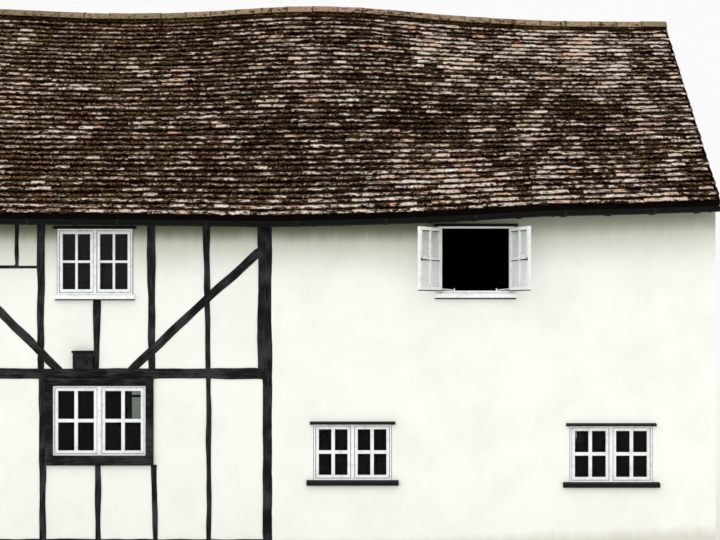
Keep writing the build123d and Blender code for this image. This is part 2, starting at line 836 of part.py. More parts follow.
def gable_brace_outlines():
    """Two braces from the girding beam to the corner posts."""
    half = gable_half()
    z0, z1 = gable_levels()[1]
    region = rectangle(-half, half, z0, z1)
    places = gable_stud_places()
    head = z1 - 3 * BRACE_WIDTH
    right = brace_outline((places[-1] - BRACE_WIDTH, z0 - BRACE_WIDTH),
                          (half + BRACE_WIDTH, head + BRACE_WIDTH), BRACE_BOW)
    left = mirror(right, about=Plane.YZ)
    return [left & region, right & region]


def gable_stud_outlines():
    """Studs of both storeys, cut by the braces, and the king stud with its collar above."""
    braces = gable_brace_outlines()
    shapes = []
    for z0, z1 in gable_levels():
        for x in gable_stud_places():
            stud = rectangle(x, x + GABLE_STUD_WIDTH, z0, z1)
            for brace in braces:
                stud = stud - brace
            shapes.append(stud)
    return shapes


def gable_peak():
    """Triangle between the tie beam and the undersides of the rafters."""
    base = plate_top(LEFT)
    top = under_rafter(LEFT + RAFTER_WIDTH, 0)
    half = (top - base) / pitch(LEFT + RAFTER_WIDTH)
    return outline([(-half, base), (half, base), (0, top)])


def gable_top_timbers():
    """King stud and collar in the peak, in one piece."""
    base = plate_top(LEFT)
    collar = base + COLLAR_RISE
    half = DEPTH / 2
    cross = rectangle(-half, half, collar, collar + KING_WIDTH)
    king = rectangle(-KING_WIDTH / 2, KING_WIDTH / 2, base, RIDGE_TOP_Z)
    return (cross + king) & gable_peak()


def gable_panels():
    half = gable_half()
    areas = [rectangle(-half, half, z0, z1) for z0, z1 in gable_levels()]
    for timber in gable_stud_outlines() + gable_brace_outlines():
        areas = [area - timber for area in areas]
    areas.append(gable_peak() - gable_top_timbers())
    return [in_gable(area, -PANEL_RECESS, TIMBER_WALL - PANEL_RECESS) for area in areas]


def party_wall():
    """Plain wall between houses, up to the underside of the tiles."""

    def profile(x):
        return [(FRONT, PLINTH_HEIGHT), (-FRONT, PLINTH_HEIGHT), (-FRONT, under_cover(x, FRONT)),
                (0, under_cover(x, 0)), (FRONT, under_cover(x, FRONT))]

    return along([PARTY_IN, RIGHT], profile)


# Base

def plinth_side():
    """Base under the front wall."""
    y0 = FRONT - PLINTH_OUT
    return block(LEFT - PLINTH_OUT, RIGHT, y0, FRONT + RENDER_WALL, 0, PLINTH_HEIGHT)


def plinth_ends():
    reach = DEPTH / 2 - RENDER_WALL
    left = block(LEFT - PLINTH_OUT, LEFT + TIMBER_WALL, -reach, reach, 0, PLINTH_HEIGHT)
    right = block(PARTY_IN, RIGHT, -reach, reach, 0, PLINTH_HEIGHT)
    return [left, right]


def ground_floor():
    reach = DEPTH / 2 - RENDER_WALL
    return block(LEFT + TIMBER_WALL, PARTY_IN, -reach, reach, 0, GROUND_FLOOR_Z)


def sill_beam():
    return block(LEFT, render_left(), FRONT, FRONT + TIMBER_WALL, PLINTH_HEIGHT, SILL_TOP)


def build():
    """Write every node of the house."""
    sides_done = plinth_side()
    save(together([sides_done, to_back(sides_done)]), "plinth_sides")
    save(together(plinth_ends()), "plinth_ends")
    save(ground_floor(), "ground_floor")
    save(together([sill_beam(), to_back(sill_beam())]), "sill_beams")

    posts = [corner_post(), main_post()]
    save(together(posts + [to_back(p) for p in posts]), "main_posts")
    girding = in_wall(girding_outline(), 0, TIMBER_WALL)
    save(together([girding, to_back(girding)] + gable_beams()), "horizontal_beams")
    studs = timbers(upper_stud_outlines() + lower_stud_outlines())
    save(together(studs), "front_studs")
    save(together([to_back(s) for s in studs]), "back_studs")
    braces = timbers(brace_outlines() + [short_rail_outline()])
    save(together(braces), "front_braces")
    save(together([to_back(b) for b in braces]), "back_braces")
    lower = panels(lower_panels() + post_filler())
    save(panels(upper_panels(True)), "front_infill_upper")
    save(lower, "front_infill_lower")
    save(to_back(panels(upper_panels(False))), "back_infill_upper")
    save(to_back(lower), "back_infill_lower")

    piers, spandrels = upper_render()
    save(together(piers), "front_render_upper_piers")
    save(together(spandrels), "front_render_upper_spandrels")
    piers, spandrels = lower_render()
    save(together(piers), "front_render_lower_piers")
    save(together(spandrels), "front_render_lower_spandrels")
    save(to_back(back_render()), "back_render")

    dark = surround()
    save(together([dark, to_back(dark)]), "window_surrounds")
    front = {}
    panes = {}
    for name, window in (("upper_left", UPPER_LEFT), ("lower_left", LOWER_LEFT),
                         ("lower_middle", LOWER_MIDDLE), ("lower_right", LOWER_RIGHT)):
        front[name], panes[name] = closed_window(window)
    front["upper_left"] = front["upper_left"] + timber_sill(UPPER_LEFT)
    for name, shape in front.items():
        save(shape, f"window_{name}")
    sill = window_sill(OPEN_WINDOW, OPEN_SILL_DEPTH, SILL_SIDE)
    save(frame_ring(OPEN_WINDOW) + sill, "window_open_frame")
    left = open_leaf(OPEN_WINDOW, LEFT_LEAF_ANGLE, False)
    right = open_leaf(OPEN_WINDOW, RIGHT_LEAF_ANGLE, True)
    save(together([left[0], right[0]]), "open_casements")
    save(together(left[2:] + right[2:]), "casement_hinges")
    shut = sum(panes.values(), [])
    save(together(shut + [left[1], right[1]]), "front_glass")
    black = [window_sill(w, BLACK_SILL_DEPTH, BLACK_SILL_SIDE) for w in (LOWER_MIDDLE, LOWER_RIGHT)]
    save(together(black), "black_sills")

    closed, closed_panes = closed_window(BACK_UPPER)
    back = [front["upper_left"], front["lower_left"], front["lower_right"], closed]
    save(together([to_back(w) for w in back]), "back_windows")
    back_panes = panes["upper_left"] + panes["lower_left"] + panes["lower_right"] + closed_panes
    save(together([to_back(p) for p in back_panes]), "back_glass")
    save(to_back(back_door()), "back_door")
    drips = [drip_board(w) for w in (UPPER_LEFT, OPEN_WINDOW, LOWER_MIDDLE, LOWER_RIGHT)]
    back_drips = [to_back(drip_board(w)) for w in (UPPER_LEFT, BACK_UPPER, DOOR, LOWER_RIGHT)]
    save(together(drips + back_drips), "drip_boards")

    save(together(cross_beams()), "cross_beams")
    x = CROSS_BEAM_X[0]
    half = BEAM_WIDTH / 2 + BEAM_CAP_OUT
    cap = block(x - half, x + half, FRONT - BEAM_OUT - BEAM_CAP_OUT, FRONT, BEAM_TOP, BEAM_TOP + BEAM_CAP)
    save(cap, "beam_cap")
    save(together(joists()), "floor_joists")
    save(upper_floor(), "upper_floor")
    save(together([plate(1), plate(-1)]), "wall_plates")
    save(together([tie_beam(x) for x in CROSS_BEAM_X]), "tie_beams")
    save(together([rafter(x, 1) for x in rafter_places()]), "rafters_front")
    save(together([rafter(x, -1) for x in rafter_places()]), "rafters_back")

    save(slope(-1), "roof_front")
    save(slope(1), "roof_back")
    save(ridge(), "ridge")
    save(together([fascia(1), fascia(-1)]), "fascias")
    front_gutter = gutter()
    save(front_gutter, "gutter_front")
    save(to_back(front_gutter), "gutter_back")
    brackets = [gutter_bracket(x) for x in bracket_places()]
    save(together(brackets + [to_back(b) for b in brackets]), "gutter_brackets")

    gable_timbers = gable_stud_outlines() + gable_brace_outlines() + [gable_top_timbers()]
    save(together([in_gable(t, 0, TIMBER_WALL) for t in gable_timbers]), "gable_studs")
    save(together(gable_panels()), "gable_infill")
    save(party_wall(), "party_wall")


build()
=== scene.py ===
"""Looks of the two-storey half timbered house: tiled roof, limewashed frame and rendered walls."""

import sys
import logging
import math
from collections.abc import Callable, Iterable, Sequence
from dataclasses import dataclass
from enum import Enum

import bpy
import numpy as np
from mathutils import Matrix, Vector
from mathutils.bvhtree import BVHTree


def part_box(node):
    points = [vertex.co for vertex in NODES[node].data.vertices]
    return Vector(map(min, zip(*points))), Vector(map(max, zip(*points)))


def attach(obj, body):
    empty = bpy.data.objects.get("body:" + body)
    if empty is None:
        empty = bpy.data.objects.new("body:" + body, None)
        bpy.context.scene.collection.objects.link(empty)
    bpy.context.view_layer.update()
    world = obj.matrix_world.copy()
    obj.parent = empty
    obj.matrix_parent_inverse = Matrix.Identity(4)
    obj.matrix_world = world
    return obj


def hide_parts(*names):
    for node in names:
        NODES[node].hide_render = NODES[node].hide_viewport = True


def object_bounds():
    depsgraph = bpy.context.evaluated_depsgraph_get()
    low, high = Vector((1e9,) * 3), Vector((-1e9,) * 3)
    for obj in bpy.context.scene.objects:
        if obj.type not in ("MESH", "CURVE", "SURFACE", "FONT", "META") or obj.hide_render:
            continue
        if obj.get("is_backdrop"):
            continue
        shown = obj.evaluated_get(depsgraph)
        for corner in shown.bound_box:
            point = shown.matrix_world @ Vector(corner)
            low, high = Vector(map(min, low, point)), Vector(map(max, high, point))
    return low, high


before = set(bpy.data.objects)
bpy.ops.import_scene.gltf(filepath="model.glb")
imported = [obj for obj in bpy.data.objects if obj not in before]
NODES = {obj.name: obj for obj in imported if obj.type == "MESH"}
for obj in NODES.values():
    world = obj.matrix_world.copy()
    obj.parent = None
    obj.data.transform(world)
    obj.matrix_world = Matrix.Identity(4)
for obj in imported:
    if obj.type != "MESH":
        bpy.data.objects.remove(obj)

LOG = logging.getLogger("house")
MM = 0.001
FRONT_Y = -2.45             # face of the front wall
WALL_LINE = 2.40            # beyond this distance from the middle a wall face is outdoors
GABLE_LINE = 4.38           # beyond this distance along the house a wall face is outdoors
WELD = 0.00002              # points closer than this are one
GRAIN_STEP = 7.31           # sets the grain of one timber apart from the next


def linear(colour: str) -> tuple[float, float, float, float]:
    """Turns an sRGB hex colour to the linear values that a socket takes.

    Args:
        colour: Colour as "#RRGGBB".

    Returns:
        Linear red, green, blue and an alpha of one.
    """
    parts = [int(colour[i:i + 2], 16) / 255 for i in (1, 3, 5)]
    red, green, blue = (p / 12.92 if p <= 0.04045 else ((p + 0.055) / 1.055) ** 2.4 for p in parts)
    return red, green, blue, 1.0


def per_metre(size: float) -> float:
    """Scale of a texture whose marks are size millimetres across."""
    return 1000.0 / size


def mm(x: float, y: float, z: float) -> Vector:
    """Place in metres of a point given in millimetres."""
    return Vector((x, y, z)) * MM


class Shader:
    """Node tree of one material or of the world."""

    def __init__(self, owner: bpy.types.ID) -> None:
        """Starts an empty tree.

        Args:
            owner: New material or world.
        """
        owner.use_nodes = True
        self.owner = owner
        self.tree = owner.node_tree
        self.tree.nodes.clear()

    def add(self, kind: str, sockets: dict | None = None, stops: Sequence | None = None,
            **settings: object) -> bpy.types.Node:
        """Adds one node with its settings and links.

        Args:
            kind: Node type without its leading ShaderNode.
            sockets: For each input, by name or index, a value, an output socket, or a node that
                stands for its first output in use.
            stops: Places and hex colours of a ramp.
            settings: Properties of the node.

        Returns:
            The new node.
        """
        node = self.tree.nodes.new("ShaderNode" + kind)
        for name, value in settings.items():
            setattr(node, name, value)
        for key, value in (sockets or {}).items():
            if isinstance(value, bpy.types.Node):
                value = next(output for output in value.outputs if output.enabled)
            if isinstance(value, bpy.types.NodeSocket):
                self.tree.links.new(value, node.inputs[key])
            else:
                node.inputs[key].default_value = value
        if stops:
            ramp = node.color_ramp
            while len(ramp.elements) < len(stops):
                ramp.elements.new(1.0)
            for element, (place, colour) in zip(ramp.elements, stops):
                element.position = place
                element.color = linear(colour)
        return node

    def finish(self, sockets: dict) -> bpy.types.Material:
        """Closes a material's tree with its surface.

        Args:
            sockets: Inputs of the principled surface.

        Returns:
            The finished material.
        """
        self.add("OutputMaterial", {"Surface": self.add("BsdfPrincipled", sockets)})
        return self.owner


@dataclass(frozen=True)
class LimeWall:
    """Lime on a wall: matt, chalky, uneven from the trowel, green with algae and painted shade
    under the eaves.
    """

    name: str
    chalk: str
    shade: str
    trowel: float           # size of the trowel waves in millimetres
    grit: float             # size of the sand grains, drawn coarse enough to show, in millimetres
    relief: float           # depth of the waves in millimetres
    # algae and mist colour the band under the eaves: real algae, darkened further as painted shade
    # of the eaves
    algae: str = "#71775B"
    mist: str = "#A3A890"   # thin green film below the thick one, partly painted shade of the eaves
    damp: str = "#B9B5A4"   # foot of the wall, splashed by rain
    room: str = "#11100E"   # soot and shade on the faces indoors
    mist_and_shade_rise: tuple[float, float] = (3.26, 3.90)   # heights over which the thin film and its painted shade come up
    mist_and_shade_most: float = 0.58                         # its cover under the eaves
    algae_and_shade_rise: tuple[float, float] = (3.70, 3.91)  # heights over which the algae and the painted eaves shade come up
    algae_and_shade_most: tuple[float, float] = (0.94, 0.50)  # their cover, left and right of the fade
    fade: tuple[float, float] = (1.3, 2.3)          # places along the house that they fade between
    climb: tuple[float, float] = (0.9, 4.3)         # places between which their foot climbs
    climb_by: float = 0.13
    splash: tuple[float, float] = (0.42, 0.24)      # heights over which the foot darkens
    splash_most: float = 0.5

    def material(self) -> bpy.types.Material:
        """Builds the material.

        Returns:
            The lime finish.
        """
        s = Shader(bpy.data.materials.new(self.name))
        place = s.add("TexCoord").outputs["Object"]
        axes = s.add("SeparateXYZ", {0: place})
        broad = s.add("TexNoise", {"Vector": place, "Scale": per_metre(520), "Detail": 4.0,
                                   "Roughness": 0.6})
        tone = s.add("ValToRGB", {0: broad}, stops=[(0.36, self.shade), (0.56, self.chalk)])
        lift = s.add("MapRange", {"Value": axes.outputs["X"], "From Min": self.climb[0],
                                  "From Max": self.climb[1], "To Min": 0.0,
                                  "To Max": self.climb_by})
        height = s.add("Math", {0: axes.outputs["Z"], 1: lift}, operation="SUBTRACT")
        streak_place = s.add("Mapping", {"Vector": place, "Scale": (1.0, 1.0, 0.22)})
        streaks = s.add("TexNoise", {"Vector": streak_place, "Scale": per_metre(120), "Detail": 5.0,
                                     "Roughness": 0.65})
        ragged = s.add("Math", {0: streaks, 1: 0.11, 2: height}, operation="MULTIPLY_ADD")
        depth = s.add("Math", {0: axes.outputs["Y"]}, operation="ABSOLUTE")
        eaves = s.add("Math", {0: depth, 1: WALL_LINE}, operation="GREATER_THAN")
        thick = s.add("MapRange", {"Value": axes.outputs["X"], "From Min": self.fade[0],
                                   "From Max": self.fade[1], "To Min": self.algae_and_shade_most[0],
                                   "To Max": self.algae_and_shade_most[1]})
        colour = tone
        # painted shade of the eaves with algae: two ragged bands that darken the outdoor wall faces
        # under the eaves
        for rise, most, film in ((self.mist_and_shade_rise, self.mist_and_shade_most, self.mist),
                                 (self.algae_and_shade_rise, thick, self.algae)):
            band = s.add("MapRange", {"Value": ragged, "From Min": rise[0], "From Max": rise[1],
                                      "To Max": most}, interpolation_type="SMOOTHSTEP")
            outdoors = s.add("Math", {0: band, 1: eaves}, operation="MULTIPLY")
            colour = s.add("Mix", {0: outdoors, 6: colour, 7: linear(film)}, data_type="RGBA")
        foot = s.add("MapRange", {"Value": ragged, "From Min": self.splash[0],
                                  "From Max": self.splash[1], "To Max": self.splash_most},
                     interpolation_type="SMOOTHSTEP")
        low = s.add("Mix", {0: foot, 6: colour, 7: linear(self.damp)}, data_type="RGBA")
        indoors = s.add("Math", {0: depth, 1: WALL_LINE}, operation="LESS_THAN")
        beside = s.add("Math", {0: axes.outputs["X"]}, operation="ABSOLUTE")
        between = s.add("Math", {0: beside, 1: GABLE_LINE}, operation="LESS_THAN")
        inside = s.add("Math", {0: indoors, 1: between}, operation="MULTIPLY")
        colour = s.add("Mix", {0: inside, 6: low, 7: linear(self.room)}, data_type="RGBA")
        wave = s.add("TexNoise", {"Vector": place, "Scale": per_metre(self.trowel), "Detail": 3.0})
        sand = s.add("TexNoise", {"Vector": place, "Scale": per_metre(self.grit), "Detail": 2.0})
        both = s.add("Math", {0: sand, 1: 0.16, 2: wave}, operation="MULTIPLY_ADD")
        bump = s.add("Bump", {"Height": both, "Distance": self.relief * MM, "Strength": 0.8})
        return s.finish({"Base Color": colour, "Roughness": 0.9, "Specular IOR Level": 0.2,
                         "Normal": bump})


@dataclass(frozen=True)
class Timber:
    """Hewn oak: long dark grain lines along each timber and fine drying cracks."""

    name: str
    dark: str
    body: str
    worn: str
    gloss: float = 0.62     # roughness of the surface
    sheen: float = 0.3      # strength of its highlights

    def material(self) -> bpy.types.Material:
        """Builds the material.

        Returns:
            The timber finish.
        """
        s = Shader(bpy.data.materials.new(self.name))
        grain = s.add("Attribute", attribute_name="grain").outputs["Vector"]
        long_place = s.add("Mapping", {"Vector": grain, "Scale": (0.07, 1.0, 1.0)})
        fibres = s.add("TexNoise", {"Vector": long_place, "Scale": per_metre(14), "Detail": 5.0,
                                    "Roughness": 0.65})
        blotch = s.add("TexNoise", {"Vector": grain, "Scale": per_metre(260), "Detail": 4.0})
        mixed = s.add("Math", {0: blotch, 1: 0.75, 2: fibres}, operation="MULTIPLY_ADD")
        colour = s.add("ValToRGB", {0: mixed},
                       stops=[(0.62, self.dark), (0.84, self.body), (1.0, self.worn)])
        crack_place = s.add("Mapping", {"Vector": grain, "Scale": (0.05, 1.0, 1.0)})
        shakes = s.add("TexVoronoi", {"Vector": crack_place, "Scale": per_metre(46)},
                       feature="DISTANCE_TO_EDGE")
        split = s.add("MapRange", {"Value": shakes, "From Min": 0.0, "From Max": 0.05})
        relief = s.add("Math", {0: split, 1: 0.5, 2: fibres}, operation="MULTIPLY_ADD")
        bump = s.add("Bump", {"Height": relief, "Distance": 0.005, "Strength": 0.7})
        return s.finish({"Base Color": colour, "Roughness": self.gloss,
                         "Specular IOR Level": self.sheen, "Normal": bump})


@dataclass(frozen=True)
class Paint:
    """Brushed oil paint on joinery or iron: even colour, soft sheen, faint dirt in blotches."""

    name: str
    coat: str
    dirt: str
    gloss: float            # roughness of the coat
    sheen: float = 0.5      # strength of its highlights
    metal: float = 0.0

    def material(self) -> bpy.types.Material:
        """Builds the material.

        Returns:
            The paint.
        """
        s = Shader(bpy.data.materials.new(self.name))
        place = s.add("TexCoord").outputs["Object"]
        marks = s.add("TexNoise", {"Vector": place, "Scale": per_metre(70), "Detail": 6.0,
                                   "Roughness": 0.7})
        colour = s.add("ValToRGB", {0: marks}, stops=[(0.30, self.dirt), (0.50, self.coat)])
        bump = s.add("Bump", {"Height": marks, "Distance": 0.0012, "Strength": 0.5})
        return s.finish({"Base Color": colour, "Roughness": self.gloss, "Metallic": self.metal,
                         "Specular IOR Level": self.sheen, "Normal": bump})


@dataclass(frozen=True)
class WindowGlass:
    """Drawn sheet glass with a faint wave, its mirroring low as by an overcast sky."""

    name: str
    # colour of the glass; on a mostly see-through pane its paleness is a painted reflection of the
    # sky
    tint_and_painted_sky: str
    body: float             # how much of the pane shows, 1 where it bends the light through it

    def material(self) -> bpy.types.Material:
        """Builds the material.

        Returns:
            The glass.
        """
        s = Shader(bpy.data.materials.new(self.name))
        place = s.add("TexCoord").outputs["Object"]
        wave = s.add("TexNoise", {"Vector": place, "Scale": per_metre(240), "Detail": 1.0})
        bump = s.add("Bump", {"Height": wave, "Distance": 0.004, "Strength": 0.3})
        return s.finish({"Base Color": linear(self.tint_and_painted_sky), "Roughness": 0.02, "IOR": 1.17,
                         "Alpha": self.body, "Normal": bump,
                         "Transmission Weight": 1.0 if self.body == 1.0 else 0.0})


@dataclass(frozen=True)
class PlainTile:
    """Hand-made clay tiles, matt and uneven.

    Each is fired its own pink, tan or brown, under a dark film of algae and moss that bare patches
    break through. The film is browner at the left end of the house. Painted shade darkens the part
    of each tile that the next course covers, and its tail edge.
    """

    name: str
    film: float             # how much of the clay the film covers, 0 to 1
    clay: tuple[str, ...]   # fired colours, from the darkest tile to the palest
    painted_shade_depth: float           # how dark the painted shade is on the part of a tile under the next course, 0 to 1
    patchy: float = 0.50    # how much bareness differs from tile to tile, not within a tile
    shadow: str = "#020000"
    moss: tuple[tuple[float, str], ...] = ((0.39, "#020000"), (0.47, "#2A1509"),
                                           (0.55, "#5E452D"), (0.65, "#96836A"))
    left: tuple[float, float] = (-3.4, 0.4)         # the film darkens between these places
    film_light: tuple[float, float] = (1.36, 0.68)  # its lightness at each of them
    edge: tuple[float, float] = (0.55, 0.47)        # how sharply the film ends
    head: tuple[float, float] = (1.03, 1.17)        # reach of the painted shade under the next course, in gauges
    tail: float = 0.06                              # and of the painted shade at the tail edge

    def material(self) -> bpy.types.Material:
        """Builds the material.

        Returns:
            The weathered tile.
        """
        s = Shader(bpy.data.materials.new(self.name))
        place = s.add("TexCoord").outputs["Object"]
        tone = s.add("Attribute", attribute_name="tone").outputs["Fac"]
        bare = s.add("Attribute", attribute_name="bare").outputs["Fac"]
        rise = s.add("Attribute", attribute_name="rise").outputs["Fac"]
        last = len(self.clay) - 1
        clay = s.add("ValToRGB", {0: tone},
                     stops=[(i / last, colour) for i, colour in enumerate(self.clay)])
        speckle = s.add("TexNoise", {"Vector": place, "Scale": per_metre(17), "Detail": 5.0,
                                     "Roughness": 0.7})
        worn = s.add("ValToRGB", {0: speckle}, stops=[(0.35, "#4A443F"), (0.44, "#D2CFCC"),
                                                                 (0.52, "#FFFFFF")])
        aged = s.add("Mix", {0: 0.9, 6: clay, 7: worn}, data_type="RGBA",
                     blend_type="MULTIPLY")
        long_place = s.add("Mapping", {"Vector": place, "Scale": (0.55, 1.0, 1.0)})
        growth = s.add("TexNoise", {"Vector": long_place, "Scale": per_metre(42), "Detail": 6.0,
                                    "Roughness": 0.72})
        moss = s.add("TexNoise", {"Vector": place, "Scale": per_metre(26), "Detail": 5.0,
                                  "Roughness": 0.7})
        film = s.add("ValToRGB", {0: moss}, stops=self.moss)
        axes = s.add("SeparateXYZ", {0: place})
        along = s.add("MapRange", {"Value": axes.outputs["X"], "From Min": self.left[0],
                                   "From Max": self.left[1], "To Min": self.film_light[0],
                                   "To Max": self.film_light[1]})
        browned = s.add("Mix", {0: 1.0, 6: film, 7: along}, data_type="RGBA",
                        blend_type="MULTIPLY")
        shift = s.add("Math", {0: bare, 1: self.patchy, 2: 0.5 - 0.5 * self.patchy - self.film},
                      operation="MULTIPLY_ADD")
        swing = s.add("Math", {0: growth, 1: 2.3, 2: -1.15}, operation="MULTIPLY_ADD")
        over = s.add("Math", {0: swing, 1: shift}, operation="ADD")
        cover = s.add("MapRange", {"Value": over, "From Min": self.edge[0],
                                   "From Max": self.edge[1]})
        mossy = s.add("Mix", {0: cover, 6: aged, 7: browned}, data_type="RGBA")
        # painted shade: dark under the next course, with a ragged line from the moss pattern, and
        # at the tail edge
        jagged = s.add("Math", {0: growth, 1: 1.3, 2: rise}, operation="MULTIPLY_ADD")
        open_head = s.add("Math", {0: bare, 1: -0.22, 2: jagged}, operation="MULTIPLY_ADD")
        head = s.add("MapRange", {"Value": open_head, "From Min": self.head[0],
                                  "From Max": self.head[1], "To Max": self.painted_shade_depth})
        tail = s.add("MapRange", {"Value": rise, "From Min": self.tail, "From Max": 0.0,
                                  "To Max": self.painted_shade_depth})
        dark = s.add("Math", {0: head, 1: tail}, operation="MAXIMUM")
        colour = s.add("Mix", {0: dark, 6: mossy, 7: linear(self.shadow)}, data_type="RGBA")
        both = s.add("Math", {0: speckle, 1: 0.5, 2: growth}, operation="MULTIPLY_ADD")
        bump = s.add("Bump", {"Height": both, "Distance": 0.010, "Strength": 0.7})
        return s.finish({"Base Color": colour, "Roughness": 0.9, "Specular IOR Level": 0.0,
                         "Normal": bump})


@dataclass(frozen=True)
class Growth:
    """Cushions of roof moss: dull olive and brown, quite matt, furry to the eye."""

    def material(self) -> bpy.types.Material:
        """Builds the material.

        Returns:
            The moss.
        """
        s = Shader(bpy.data.materials.new("roof_moss"))
        place = s.add("TexCoord").outputs["Object"]
        tufts = s.add("TexNoise", {"Vector": place, "Scale": per_metre(18), "Detail": 4.0,
                                   "Roughness": 0.7})
        broad = s.add("TexNoise", {"Vector": place, "Scale": per_metre(700), "Detail": 2.0})
        mixed = s.add("Math", {0: broad, 1: 0.6, 2: tufts}, operation="MULTIPLY_ADD")
        colour = s.add("ValToRGB", {0: mixed},
                       stops=[(0.58, "#050200"), (0.76, "#21140A"), (0.87, "#3B3016"),
                              (0.97, "#676032")])
        bump = s.add("Bump", {"Height": tufts, "Distance": 0.010, "Strength": 1.0})
        return s.finish({"Base Color": colour, "Roughness": 1.0, "Specular IOR Level": 0.03,
                         "Normal": bump})


@dataclass(frozen=True)
class Brickwork:
    """Brick in lime mortar, laid in stretcher bond, with rough arrises."""

    name: str
    brick: str
    other: str
    mortar: str
    flat: bool = False      # laid as a floor, seen from above

    def material(self) -> bpy.types.Material:
        """Builds the material.

        Returns:
            The brickwork.
        """
        s = Shader(bpy.data.materials.new(self.name))
        place = s.add("TexCoord").outputs["Object"]
        axes = s.add("SeparateXYZ", {0: place})
        run = s.add("Math", {0: axes.outputs["X"], 1: 0.0 if self.flat else axes.outputs["Y"]},
                    operation="ADD")
        rise = axes.outputs["Y" if self.flat else "Z"]
        bond = s.add("CombineXYZ", {"X": run, "Y": rise})
        bricks = s.add("TexBrick", {"Vector": bond, "Color1": linear(self.brick),
                                    "Color2": linear(self.other), "Mortar": linear(self.mortar),
                                    "Scale": 1.0, "Mortar Size": 0.006, "Mortar Smooth": 0.3,
                                    "Brick Width": 0.225, "Row Height": 0.075})
        marks = s.add("TexNoise", {"Vector": place, "Scale": per_metre(40), "Detail": 6.0,
                                   "Roughness": 0.7})
        shade = s.add("ValToRGB", {0: marks}, stops=[(0.35, "#8A8A8A"), (0.62, "#FFFFFF")])
        colour = s.add("Mix", {0: 0.8, 6: bricks, 7: shade}, data_type="RGBA",
                       blend_type="MULTIPLY")
        joints = s.add("Math", {0: bricks.outputs["Fac"], 1: -0.8, 2: marks},
                       operation="MULTIPLY_ADD")
        bump = s.add("Bump", {"Height": joints, "Distance": 0.008, "Strength": 0.8})
        return s.finish({"Base Color": colour, "Roughness": 0.8, "Normal": bump})


class Finishes(Enum):
    """Finishes of the house by the slot that they belong to."""

    LIMEWASH = LimeWall("limewash_on_daub", "#F5F6F0", "#F0F1EA", 110, 14, 4.0)
    LIME_RENDER = LimeWall("trowelled_lime_render", "#F6F7F1", "#F1F2EB", 180, 20, 3.0)
    TARRED_OAK = Timber("tarred_oak", "#050505", "#141414", "#343437", 0.8, 0.12)
    OLD_OAK = Timber("old_oak_indoors", "#0E0A07", "#221A12", "#33281C", 0.75)
    WHITE_PAINT = Paint("white_oil_paint", "#F3F5F5", "#D2D4D3", 0.42)
    BLACK_PAINT = Paint("black_oil_paint", "#0C0C0C", "#1B1A19", 0.6, 0.15)
    IRONWORK = Paint("blacked_wrought_iron", "#0A0A0A", "#1E1B18", 0.6, 0.2)
    GUTTER_BLACK = Paint("painted_cast_iron", "#060605", "#11100E", 0.6, 0.10)
    GLASS = WindowGlass("sheet_glass", "#A9B0AC", 1.0)
    # pale colour on a pane that is mostly see-through: a painted reflection of the sky
    LEAF_GLASS = WindowGlass("sheet_glass_of_open_leaves", "#DCE2E0", 0.30)
    CLAY_TILE = PlainTile("hand_made_clay_tile", 0.0,
                          ("#8E7968", "#E6C9B9", "#DDD0BA", "#F2E2D5", "#DCCBBC", "#EFD4C6",
                           "#D4C7B1", "#E5B999", "#F4E9DC"), 0.97)
    RIDGE_TILE = PlainTile("half_round_ridge_tile", 0.0,
                           ("#8A7D5F", "#A18C70", "#A88B72", "#BC9888", "#987A6B"), 0.95)
    # near black painted shade: the roof covering under and between the tiles, the gaps round shut
    # leaves and the lines round the windows
    BEDDING = Paint("roof_bedding", "#0E0A07", "#070504", 0.95, 0.05)
    MORTAR = Paint("weathered_lime_mortar", "#4A4031", "#1D160F", 0.95, 0.1)
    MOSS = Growth()
    TARRED_BRICK = Brickwork("tarred_brick", "#1A1918", "#252321", "#2E2C28")
    FLOOR_BRICK = Brickwork("floor_brick", "#3B241A", "#2E1D16", "#29241F", True)

    def coat(self) -> bpy.types.Material:
        """Material of this finish, built on first use.

        Returns:
            The material.
        """
        if self not in MIXED:
            MIXED[self] = self.value.material()
        return MIXED[self]


MIXED: dict[Finishes, bpy.types.Material] = {}      # finishes that have been mixed so far


